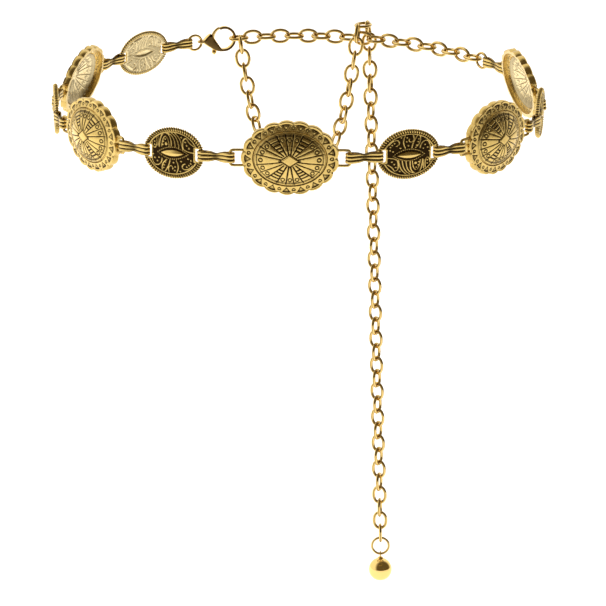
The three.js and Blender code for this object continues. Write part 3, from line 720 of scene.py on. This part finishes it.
def end_loop(side):
    """Half a D loop of round wire at one end, from inside the skirt out to its straight bar."""
    c = CONCHO
    half_height = (c["loop_height"] - c["loop_wire"]) / 2
    root = c["half_width"] - c["scallop_depth"] - 0.6 * c["wall"]
    bar = c["half_width"] + c["loop_reach"]
    corners = [(root, half_height), (bar - 1.5, half_height), (bar - 0.35, half_height - 0.35),
               (bar, half_height - 1.5), (bar, 0), (bar, 1.5 - half_height),
               (bar - 0.35, 0.35 - half_height), (bar - 1.5, -half_height), (root, -half_height)]
    path = smooth_path(corners, 40) * side
    # The loop's core of 0.6 is a painted dark reflection along the wire.
    return carried(path, RING_WIRE_SHOWN / 2, RING_WIRE_SHOWN / 2, core=0.6)


def concho_shape():
    """A whole concho: its shell and the loop at each end."""
    return merged([concho_shell(), end_loop(1), end_loop(-1)])


# Small ovals

# Raised scrolls on an oval, charted: the three corners of a bent stroke and its width.
SCROLLS = [
    # x0, y0, x1, y1, x2, y2, width
    (-6.3, 2.2, -6.2, 8.2, -3.5, 8.0, 0.5),
    (-3.5, 8.0, -0.6, 7.6, -0.6, 2.5, 0.5),
    (-5.2, 2.4, -4.9, 6.4, -3.6, 6.6, 0.38),
    (-3.6, 6.6, -2.0, 6.2, -1.6, 2.6, 0.38),
    (-2.2, 7.9, 0.9, 7.0, 1.2, 2.5, 0.42),
    (-0.9, 8.2, 2.4, 6.8, 2.9, 2.1, 0.42),
    (0.6, 8.3, 4.0, 6.2, 4.6, 1.7, 0.42),
    (-9.3, 6.6, -10.4, 2.2, -8.4, 1.6, 0.42),
    (-8.4, 1.6, -6.9, 2.4, -7.9, 6.8, 0.42),
    (-7.4, 7.4, -6.4, 5.0, -6.9, 2.6, 0.38),
    (5.0, 2.0, 3.6, 6.6, 6.2, 6.4, 0.45),
    (6.2, 6.4, 7.2, 4.6, 9.4, 3.6, 0.45),
    (5.0, 2.0, 6.6, 0.9, 9.2, 0.8, 0.45),
    (-9.6, -3.2, -8.6, -6.0, -6.8, -5.4, 0.45),
    (-6.8, -5.4, -5.0, -4.6, -5.0, -2.6, 0.45),
    (-5.0, -7.4, -5.4, -4.6, -2.8, -2.9, 0.45),
    (-1.2, -2.9, -1.4, -5.0, -3.6, -7.8, 0.45),
    (-1.9, -7.9, -2.6, -5.6, -0.8, -5.3, 0.42),
    (-0.8, -5.3, 0.4, -5.6, -0.1, -6.7, 0.42),
    (1.7, -2.9, 3.4, -5.4, 1.6, -8.4, 0.42),
    (5.6, -4.0, 3.6, -4.8, 4.8, -6.2, 0.45),
    (4.8, -6.2, 6.6, -7.0, 9.0, -4.6, 0.45),
]
# Raised dots on an oval: x, y and radius.
DOTS = [
    (-8.9, 5.6, 0.34), (-8.6, 4.2, 0.36), (-8.5, 2.8, 0.38), (-4.6, 3.2, 0.36), (-4.4, 4.5, 0.34),
    (-3.6, 5.5, 0.32), (-3.1, 3.6, 0.62), (3.7, 6.7, 0.34), (5.6, 4.9, 0.34), (6.3, 3.6, 0.36),
    (7.4, 2.5, 0.36), (7.0, -1.8, 0.36), (8.3, -2.4, 0.34), (-9.2, -1.0, 0.34), (-8.4, -2.6, 0.36),
    (-7.2, -3.8, 0.36), (-6.4, -2.3, 0.34), (-3.4, -3.9, 0.36), (-4.0, -5.2, 0.34), (-4.3, -6.4, 0.32),
    (0.4, -3.9, 0.36), (1.1, -5.6, 0.34), (0.9, -7.2, 0.34), (3.9, -3.1, 0.36), (3.4, -7.4, 0.34),
    (6.4, -5.2, 0.34), (7.4, -4.5, 0.32), (8.2, -3.7, 0.32),
]
# The rope round an oval: its strands' turns on the way round, its mean radius and its level.
ROPE_TURNS = 68
ROPE_RADIUS = 0.92
ROPE_LEVEL = 0.1
SLOT_TOOL_DEPTH = 8


def oval_relief(share, x, y):
    """Height to add and antique tone on the front of a small oval.

    The ground inside the border is sunk and dark. Scrolls and dots stand up from it where the
    distance to one of their charted lines is small. The border is a plain band and a rope.
    """
    near = np.full(x.shape, np.inf)
    t = np.linspace(0, 1, 14)
    weights = np.stack([(1 - t) ** 2, 2 * t * (1 - t), t ** 2], 1)
    for *corners, width in SCROLLS:
        bent = weights @ np.reshape(corners, (3, 2))
        for (ax, ay), (bx, by) in zip(bent[:-1], bent[1:]):
            dx, dy = bx - ax, by - ay
            k = np.clip(((x - ax) * dx + (y - ay) * dy) / (dx * dx + dy * dy), 0, 1)
            near = np.minimum(near, np.hypot(x - ax - k * dx, y - ay - k * dy) - width / 2)
    for px, py, radius in DOTS:
        near = np.minimum(near, np.hypot(x - px, y - py) - radius)
    raised = 1 - ramp(near, -0.12, 0.14)

    # The almond boss in a dark groove, with a fine rope round it.
    eye = (x / 5.6) ** 2 + np.abs(y) / 1.4
    eye_zone = (x / 7.2) ** 2 + np.abs(y) / 2.6
    rope = stroke((eye_zone - 0.94) * 2.6, 0.46, 0.1)
    strand = np.cos(x * 7.2)
    in_eye = 1 - ramp(eye_zone, 0.97, 1.03)
    raised = raised * (1 - in_eye)
    boss = 1 - ramp(eye, 0.86, 1.02)

    ground = 1 - ramp(share, 0.775, 0.79)
    rise = -0.42 * ground + 0.4 * raised * ground
    rise = rise + rope * (0.3 + 0.16 * strand) * ground
    rise = rise + boss * (0.55 + 0.6 * np.sqrt(np.clip(1 - eye, 0, 1)))
    dark = ground * (1 - raised) * (1 - rope * (0.55 + 0.45 * strand)) * (1 - boss)

    # The plain band, and the dark bed of the rope outside it.
    band = stroke((share - 0.815) * 12, 0.36, 0.14)
    rise = rise + 0.2 * band
    dark = np.maximum(dark, 1 - ground - band)

    # A plain frame round each slot.
    slot_middle = (OVAL["slot_from"] + OVAL["slot_to"]) / 2
    slot_half = (OVAL["slot_to"] - OVAL["slot_from"]) / 2
    slot = np.maximum(np.abs(np.abs(x) - slot_middle) - slot_half, np.abs(y) - OVAL["slot_height"] / 2)
    outside = ramp(slot, 0.35, 0.6)
    return rise * outside, np.clip(dark * outside, 0, 1)


def oval_plate():
    """The oval's plate as rings from the middle of the front, over the edge, to the middle behind."""
    o = OVAL
    turn = slanted(around(320)[None, :], o["half_width"], o["half_height"])
    outline = oval_at(turn, o["half_width"], o["half_height"])

    def rows_at(shares, thickness, depth):
        """Rings of the plate at these shares of its outline, and their tones."""
        shares = shares[:, None]
        flat = outline * shares[..., None]
        share = np.broadcast_to(shares, flat.shape[:2])
        rise, dark = oval_relief(share, flat[..., 0], flat[..., 1])
        level = np.interp(share, [0, 0.5, 0.9, 0.94, 1], [o["crown"], 0.75 * o["crown"], 0.55, 0.6, 0.2])
        return with_height(flat, level - thickness + rise * depth), dark

    front_shares = np.concatenate([np.linspace(0.025, 0.79, 54), np.linspace(0.8, 0.965, 12)])
    front, dark = rows_at(front_shares, 0, 1)
    back, back_dark = rows_at(np.linspace(0.95, 0.03, 26), 1.05, 0.55)
    rows = np.concatenate([front, back])
    antique = np.concatenate([dark, back_dark * 0.42])
    inside = np.concatenate([np.zeros(dark.shape), np.ones(back_dark.shape)])
    return grid_shape(rows, antique=antique, inside=inside)


def oval_rope():
    """The rope round an oval: a ring whose section turns as it goes round.

    Its radius is a mean times one plus a cosine of the section angle and the rope's turns together.
    """
    o = OVAL
    columns = 608
    sides = 10
    angle = around(columns)
    turn = slanted(angle, o["half_width"], o["half_height"])
    path = oval_at(turn, o["half_width"] - ROPE_RADIUS, o["half_height"] - ROPE_RADIUS)
    section = around(sides)[None, :]
    strand = np.cos(section + ROPE_TURNS * angle[:, None])
    radius = ROPE_RADIUS * (0.86 + 0.26 * strand)
    rows = tube(path, radius * np.cos(section), radius * np.sin(section) + ROPE_LEVEL, ring=True)
    return grid_shape(rows, ring=True, antique=0.85 * ramp(-strand, -0.35, 0.35))


def with_rope(plate, rope):
    """Joins the rope object into the plate object."""
    with bpy.context.temp_override(active_object=plate, selected_editable_objects=[plate, rope]):
        bpy.ops.object.join()


def slotted(obj):
    """Cuts the two slots through a plate object with a boolean, and applies it."""
    o = OVAL
    length = o["slot_to"] - o["slot_from"]
    for side in (-1, 1):
        middle = side * (o["slot_from"] + o["slot_to"]) / 2
        box = rounded_box("slot_tool", length, o["slot_height"], SLOT_TOOL_DEPTH, middle)
        cutter = obj.modifiers.new("slot", "BOOLEAN")
        cutter.operation = "DIFFERENCE"
        cutter.solver = "EXACT"
        cutter.object = box
        with bpy.context.temp_override(object=obj):
            bpy.ops.object.modifier_apply(modifier=cutter.name)
        bpy.data.objects.remove(box)


def rounded_box(name, length, height, depth, middle):
    """A slot cutter: a rounded rectangle carried through the plate's thickness."""
    turn = around(40)
    x = middle + length / 2 * signed_power(np.cos(turn), 0.35)
    y = height / 2 * signed_power(np.sin(turn), 0.2)
    flat = np.broadcast_to(np.stack([x, y], -1), (2, len(turn), 2))
    return mesh_from(name, grid_shape(with_height(flat, np.array([[-depth / 2], [depth / 2]]))))


# Strap links, wire rings, clasp and ball

# A strap link is this share narrower at its waist, over this distance along it.
PINCH_SHARE = 0.3
PINCH_REACH = 1.7


def pinch_in(part):
    """Narrows a strap link's part at its waist, and gives back how strongly at each point."""
    pinch = np.exp(-(part["points"][:, 0] / PINCH_REACH) ** 2)
    part["points"][:, 2] *= 1 - PINCH_SHARE * pinch
    return pinch


def strap_shape():
    """Three round ribs and a darker core between them, each carried round a pinched figure eight."""
    s = STRAP
    half = s["length"] / 2
    reach_x = s["hole_length"] + s["band"] / 2
    reach_z = s["hole_depth"] + s["band"] / 2
    # The outline of one end, from the top of the waist round the hole to the bottom of the waist.
    upper = [(0, 0.42), (1.6, 0.62), (half - 1.3, reach_z - 0.12), (half, reach_z),
             (half + reach_x * 0.75, reach_z * 0.72)]
    right = upper + [(half + reach_x, 0)] + [(x, -z) for x, z in upper[::-1]]
    left = [(-x, -z) for x, z in right[1:-1]]
    path = smooth_path(right + left, 64, ring=True)
    ribs = []
    for k in (-1, 0, 1):
        rib = carried(path, s["band"] / 2 + 0.06, s["rib"] / 2, 10, ring=True, roundness=0.8)
        edge = np.abs(rib["points"][:, 2]) / (s["rib"] / 2)
        rib["points"][:, 2] += k * (s["rib"] + s["groove"])
        pinch = pinch_in(rib)
        # Dark at the groove edges of each rib as patina, and at the pinched waist as painted shade.
        rib["antique"] = np.maximum(ramp(edge, 0.7, 1.0) * 0.9, 0.7 * pinch)
        ribs.append(rib)
    core_height = 1.5 * s["rib"] + s["groove"] - 0.5
    core = carried(path, s["band"] / 2 - 0.12, core_height, 8, ring=True, roundness=0.3)
    pinch_in(core)
    core["antique"] = np.ones(len(core["points"]))
    return moved(merged(ribs + [core]), STOOD_UP.T, np.zeros(3))


def wire_ring(half_length, half_width, radius, count, fullness=1, core=0.9):
    """A closed oval of round wire, of this many sections; a fullness under 1 makes it squarer."""
    path = oval_at(around(count), half_length, half_width, fullness)
    # core paints a dark reflection along the middle of the wire's sides.
    return carried(path, radius, radius, ring=True, core=core)


def link_shape():
    """One chain link of round wire, a little fuller than an ellipse."""
    half_width = (LINK["width"] - LINK["wire"]) / 2
    return wire_ring((PITCH + WIRE_SHOWN) / 2, half_width, WIRE_SHOWN / 2, 32, fullness=0.92)


# The clasp's wedge as pairs of points, one on its outer edge and one on its edge at the opening.
CLASP_WEDGE = [
    # outer x, outer y, inner x, inner y
    (6.2, -5.95, 6.2, -4.6),
    (8.2, -5.75, 6.9, -3.9),
    (10.3, -5.1, 7.9, -2.5),
    (12.8, -3.6, 8.8, -1.3),
    (15.1, -2.1, 9.4, -0.4),
    (15.9, -1.2, 9.8, 0.15),
    (15.1, -0.2, 10.2, 0.7),
    (13.9, 1.2, 10.6, 1.3),
    (12.1, 2.7, 10.9, 1.75),
]


# Half sizes along the clasp's parts, as shares of the length and the half size there.
CLASP_THICKNESS = [(0, 0.5), (0.02, 0.95), (0.3, 1.1), (0.5, 1.3), (0.62, 1.7), (0.96, 1.6), (1, 0.8)]
LEVER_WIDTH = [(0, 0.25), (0.05, 0.6), (0.3, 0.75), (0.5, 0.95), (0.75, 0.65), (0.84, 0.8), (0.93, 1.25),
               (1, 0.5)]
LEVER_THICKNESS = [(0, 0.3), (0.05, 0.58), (0.7, 0.6), (0.84, 0.7), (0.93, 1.2), (1, 0.5)]
LEVER_LINE = [(7.2, 5.2), (8.6, 4.7), (9.9, 3.3), (10.7, 1.2), (10.4, -2.0), (9.9, -5.2), (9.8, -7.4)]
# The ball's cap: the radius of each circle and its height over the top of the ball.
BALL_CAP = [(0.9, -0.5), (1.55, -0.15), (1.5, 0.15), (1.2, 0.5), (0.75, 0.8), (0.45, 0.95)]


def along_part(chart, count):
    """The charted half size at evenly spaced points of a part."""
    return np.interp(np.linspace(0, 1, count), *zip(*chart))


def clasp_body_shape():
    """The lobster clasp's body and its eye.

    The body is a strip between an outer and an inner edge, round the hook and up the wedge. Its
    section runs from one edge to the other by the cosine and swells to its thickness by the sine,
    both raised to a power under 1 so that its broad sides are flat; their dark tone is a painted
    dark reflection.
    """
    c = CLASP
    turn = np.radians(np.linspace(66, 268, 40))[::4]
    middle = np.array([c["centre"], 0])
    hook = [middle + oval_at(turn, radius, radius) for radius in (c["ring_radius"], c["opening"])]
    pairs = smooth_path(np.vstack([np.hstack(hook), CLASP_WEDGE]), 110)
    outer, inner = pairs[:, None, :2], pairs[:, None, 2:]
    thick = along_part(CLASP_THICKNESS, len(pairs))
    angle = around(20)
    u = signed_power(np.cos(angle), 0.6)
    v = signed_power(np.sin(angle), 0.45)
    flat = (outer + inner) / 2 + (outer - inner) / 2 * u[:, None]
    rows = with_height(flat, thick[:, None] * v)
    # The broad sides are painted dark: a painted reflection, not a tarnish of the metal.
    painted_dark_sides = np.broadcast_to(0.92 * ramp(np.abs(np.sin(angle)), 0.55, 0.8), rows.shape[:2])
    body = grid_shape(rows, antique=painted_dark_sides)
    eye = wire_ring(c["eye_radius"], c["eye_radius"], c["eye_wire"] / 2, 28)
    return merged([body, moved(eye, STOOD_UP, np.array([c["eye_at"], c["eye_drop"], 0]))])


def clasp_lever_shape():
    """The clasp's lever: the gate arm, the stem and the thumb knob as one carried section."""
    path = smooth_path(LEVER_LINE, 60)
    across = along_part(LEVER_WIDTH, len(path))
    thick = along_part(LEVER_THICKNESS, len(path))
    # The lever's core of 0.6 is a painted dark reflection along its sides.
    return carried(path, across, thick, 16, roundness=0.85, core=0.6)


def ball_shape():
    """The ball, its cap and its eye: circles of a sphere's radius, a small dome and a wire ring."""
    b = BALL
    radius = b["diameter"] / 2
    polar = np.linspace(0.03, math.pi - 0.03, 48)
    ball = turned_profile(radius * np.sin(polar), radius * np.cos(polar) - b["drop"], 72)
    top = -b["drop"] + radius
    cap = turned_profile([r for r, _ in BALL_CAP], [top + height for _, height in BALL_CAP])
    eye_drop = b["eye_radius"] - b["eye_flat"] - END_FLAT - SEAM
    eye = wire_ring(b["eye_radius"], b["eye_radius"], b["eye_wire"] / 2, 28)
    upright = np.array([[0, 0, 1.0], [0, 1.0, 0], [-1.0, 0, 0]])
    return merged([ball, cap, moved(eye, upright, np.array([0, 0, -eye_drop]))])


# Materials

def node_of(tree, kind, place, **values):
    """Adds a shader node and sets its named inputs."""
    node = tree.nodes.new(kind)
    node.location = place
    for key, value in values.items():
        node.inputs[key].default_value = value
    return node


def mix_of(tree, place, **colours):
    """Adds a node that mixes two colours, A and B."""
    mix = node_of(tree, "ShaderNodeMix", place)
    mix.data_type = "RGBA"
    for key, colour in colours.items():
        mix.inputs[key].default_value = (*colour, 1)
    return mix


def gold_material(name, bright, brown, roughness, brown_roughness, bump, stain):
    """Gold metal: bright where it is rubbed, brown where patina and painted shade are, pale behind.

    Noise on Object coordinates varies the colour and the roughness, and gives a faint cast grain.
    """
    material = bpy.data.materials.new(name)
    material.use_nodes = True
    tree = material.node_tree
    tree.nodes.clear()
    link = tree.links.new
    out = node_of(tree, "ShaderNodeOutputMaterial", (900, 0))
    shader = node_of(tree, "ShaderNodeBsdfPrincipled", (600, 0))
    shader.inputs["Metallic"].default_value = 1.0
    link(shader.outputs["BSDF"], out.inputs["Surface"])
    place = node_of(tree, "ShaderNodeTexCoord", (-900, 0))
    blotch = node_of(tree, "ShaderNodeTexNoise", (-700, 200), Scale=260.0, Detail=4.0, Roughness=0.6)
    grain = node_of(tree, "ShaderNodeTexNoise", (-700, -300), Scale=2600.0, Detail=3.0, Roughness=0.55)
    link(place.outputs["Object"], blotch.inputs["Vector"])
    link(place.outputs["Object"], grain.inputs["Vector"])

    # This tone holds patina in the hollows together with painted shade and painted dark reflections.
    antique = tree.nodes.new("ShaderNodeAttribute")
    antique.attribute_name = "antique"
    behind = tree.nodes.new("ShaderNodeAttribute")
    behind.attribute_name = "inside"
    spread = {"From Min": 0.45, "From Max": 0.75, "To Max": stain}
    stained = node_of(tree, "ShaderNodeMapRange", (-400, 300), **spread)
    link(blotch.outputs["Fac"], stained.inputs["Value"])
    depth = node_of(tree, "ShaderNodeMath", (-200, 200))
    depth.operation = "ADD"
    depth.use_clamp = True
    link(antique.outputs["Fac"], depth.inputs[0])
    link(stained.outputs["Result"], depth.inputs[1])

    front = mix_of(tree, (0, 300), A=bright, B=PALE)
    link(behind.outputs["Fac"], front.inputs["Factor"])
    colour = mix_of(tree, (250, 200), B=brown)
    link(front.outputs["Result"], colour.inputs["A"])
    link(depth.outputs["Value"], colour.inputs["Factor"])
    link(colour.outputs["Result"], shader.inputs["Base Color"])

    spread = {"To Min": roughness, "To Max": brown_roughness}
    rough = node_of(tree, "ShaderNodeMapRange", (0, -100), **spread)
    link(depth.outputs["Value"], rough.inputs["Value"])
    link(rough.outputs["Result"], shader.inputs["Roughness"])

    grit = node_of(tree, "ShaderNodeBump", (300, -300), Strength=bump, Distance=0.00005)
    link(grain.outputs["Fac"], grit.inputs["Height"])
    link(grit.outputs["Normal"], shader.inputs["Normal"])
    return material


def plain_material(name, colour, roughness):
    """A matt studio surface with a slight mottle."""
    material = bpy.data.materials.new(name)
    material.use_nodes = True
    tree = material.node_tree
    shader = tree.nodes["Principled BSDF"]
    shader.inputs["Roughness"].default_value = roughness
    noise = node_of(tree, "ShaderNodeTexNoise", (-500, 0), Scale=3.0, Detail=2.0)
    mix = mix_of(tree, (-250, 0), A=colour, B=[0.97 * c for c in colour])
    tree.links.new(noise.outputs["Fac"], mix.inputs["Factor"])
    tree.links.new(mix.outputs["Result"], shader.inputs["Base Color"])
    return material


antique_gold = gold_material("antique_gold", BRIGHT, BROWN, roughness=0.22, brown_roughness=0.5,
                             bump=0.35, stain=0.16)
chain_gold = gold_material("chain_gold", CHAIN_BRIGHT, CHAIN_STAIN_AND_REFLECTION_BROWN, roughness=0.08, brown_roughness=0.14,
                           bump=0.08, stain=0.05)


# Putting the pieces in place

def finish_piece(obj, node, material, body):
    """Gives a new piece its finish and its body, and lets it stand for its CAD node."""
    obj.data.materials.clear()
    obj.data.materials.append(material)
    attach(obj, body)
    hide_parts(node)


def dress(node, shape, body="belt"):
    """Makes a bright piece from a shape, to stand for its CAD node."""
    finish_piece(mesh_from(f"{node}_dressed", shape), node, chain_gold, body)


def copy_in_place(base, name, axes, middle):
    """A copy of a base mesh whose own points are placed on these axes."""
    mesh = base.data.copy()
    points = np.zeros(len(mesh.vertices) * 3, np.float32)
    mesh.vertices.foreach_get("co", points)
    local = points.reshape(-1, 3) / MM
    mesh.vertices.foreach_set("co", (placed(local, axes, middle) * MM).astype(np.float32).ravel())
    mesh.update()
    return add_object(name, mesh)


def place_ring_pieces():
    """The conchos, ovals and strap links, each a copy of one base mesh."""
    places, _ = closed_ring()
    bases = {
        "concho": mesh_from("concho_base", concho_shape()),
        "oval": mesh_from("oval_base", oval_plate()),
        "strap": mesh_from("strap_base", strap_shape()),
    }
    slotted(bases["oval"])
    with_rope(bases["oval"], mesh_from("rope_base", oval_rope()))
    for name in RIGHT_SIDE + LEFT_SIDE + ["concho_front"]:
        start, end = (tilted(p) for p in places[name])
        axes = frame_of(start, end, tilted(UP))
        half_turn = np.diag([-1.0, -1.0, 1.0]) if name in UPSIDE_DOWN else np.eye(3)
        turned = half_turn @ leaning(LEAN.get(name, 0)) @ axes
        obj = copy_in_place(bases[kind_of(name)], f"{name}_dressed", turned, (start + end) / 2)
        finish_piece(obj, name, antique_gold, "belt")
    for base in bases.values():
        bpy.data.objects.remove(base)
    return places


def place_clasp_and_rings(places):
    """The jump rings, the clasp's body and its lever."""
    ring_half = (JUMP_RING["length"] - JUMP_RING["wire"]) / 2
    for name in ("chain_ring", "clasp_ring"):
        start, end = (tilted(p) for p in places[name])
        round_ring = wire_ring(ring_half, ring_half, RING_WIRE_SHOWN / 2, 48)
        dress(name, moved(round_ring, frame_of(start, end, tilted(UP)), (start + end) / 2))
    start, end = (tilted(p) for p in places["clasp"])
    axes = frame_of(start, end, tilted(UP))
    turn = -math.atan2(CLASP["eye_drop"], CLASP["eye_at"])
    c, s = math.cos(turn), math.sin(turn)
    spin = np.array([[c, s, 0], [-s, c, 0], [0, 0, 1.0]])
    shift = np.array([-CLASP_LENGTH / 2, 0, 0])
    for name, shape in (("clasp_body", clasp_body_shape()), ("clasp_lever", clasp_lever_shape())):
        dress(name, moved(moved(shape, spin, shift), axes, (start + end) / 2))


def place_chains():
    """Every stretch of chain, the ring at its end and the ball that swings on it."""
    chains, tail_end = chain_places()
    link = link_shape()
    for name, links in chains.items():
        dress(name, merged([moved(link, axes, middle) for axes, middle in links]))
    radius = (END_RING["diameter"] - END_RING["wire"]) / 2
    centre = tail_end - UP * (radius - END_FLAT - SEAM)
    dress("end_ring", moved(wire_ring(radius, radius, RING_WIRE_SHOWN / 2, 56), STOOD_UP, centre))
    ball = ball_shape()
    ball["points"] = ball["points"] + centre - UP * radius
    dress("ball_drop", ball, body="drop")


# Studio

def stage_sheet(name, corners, material):
    """One flat quad of the studio, in millimetres."""
    mesh = bpy.data.meshes.new(name)
    mesh.from_pydata([tuple(v * MM for v in corner) for corner in corners], [], [(0, 1, 2, 3)])
    mesh.materials.append(material)
    add_object(name, mesh)


def soft_light(name, place, target, size, watts):
    """A white rectangular area light at a place, turned to its target. Millimetres and watts."""
    data = bpy.data.lights.new(name, "AREA")
    data.shape = "RECTANGLE"
    data.size = size[0] * MM
    data.size_y = size[1] * MM
    data.energy = watts
    obj = add_object(name, data)
    place, target = np.array(place, float) * MM, np.array(target, float) * MM
    obj.location = place
    obj.rotation_mode = "QUATERNION"
    obj.rotation_quaternion = Vector(target - place).to_track_quat("-Z", "Y")
    return obj


def build_air():
    """The surroundings: bright on the left, behind and below, dark towards the upper right in front.

    The share of dark grows with the cosine of the angle between the direction and DARK_SIDE.
    """
    world = bpy.data.worlds.new("studio_air")
    world.use_nodes = True
    tree = world.node_tree
    link = tree.links.new
    place = node_of(tree, "ShaderNodeTexCoord", (-900, 0))
    dot = tree.nodes.new("ShaderNodeVectorMath")
    dot.operation = "DOT_PRODUCT"
    dot.inputs[1].default_value = DARK_SIDE
    link(place.outputs["Generated"], dot.inputs[0])
    spread = {"From Min": DARK_FROM, "From Max": DARK_FULL}
    share = node_of(tree, "ShaderNodeMapRange", (-500, 0), **spread)
    share.interpolation_type = "SMOOTHSTEP"
    link(dot.outputs["Value"], share.inputs["Value"])
    mix = mix_of(tree, (-250, 0), A=AIR_BRIGHT, B=AIR_DARK)
    link(share.outputs["Result"], mix.inputs["Factor"])
    link(mix.outputs["Result"], tree.nodes["Background"].inputs["Color"])
    bpy.context.scene.world = world


def build_studio():
    """A white floor lit from above by a light that the metal doesn't mirror, in a half dark room."""
    white = plain_material("studio_white", FLOOR_COLOUR, FLOOR_ROUGHNESS)
    corners = [(-1, -1), (1, -1), (1, 1), (-1, 1)]
    stage_sheet("floor", [(FLOOR_REACH * x, FLOOR_REACH * y, FLOOR_LEVEL) for x, y in corners], white)
    wash = soft_light("floor_wash", WASH_PLACE, WASH_TARGET, WASH_SIZE, WASH_WATTS)
    wash.visible_glossy = False
    build_air()
    bpy.context.scene.view_settings.view_transform = "Standard"


def build_camera():
    """The camera at the photograph's viewpoint, looking a little down."""
    data = bpy.data.cameras.new("camera")
    data.lens = CAMERA_LENS
    data.sensor_width = CAMERA_SENSOR
    data.clip_start = 0.05
    data.clip_end = 20
    camera = add_object("camera", data)
    camera.location = [v * MM for v in CAMERA_PLACE]
    camera.rotation_euler = (math.radians(90 - CAMERA_DOWN), 0, 0)
    bpy.context.scene.camera = camera


build_camera()
build_studio()
ring_places = place_ring_pieces()
place_clasp_and_rings(ring_places)
place_chains()
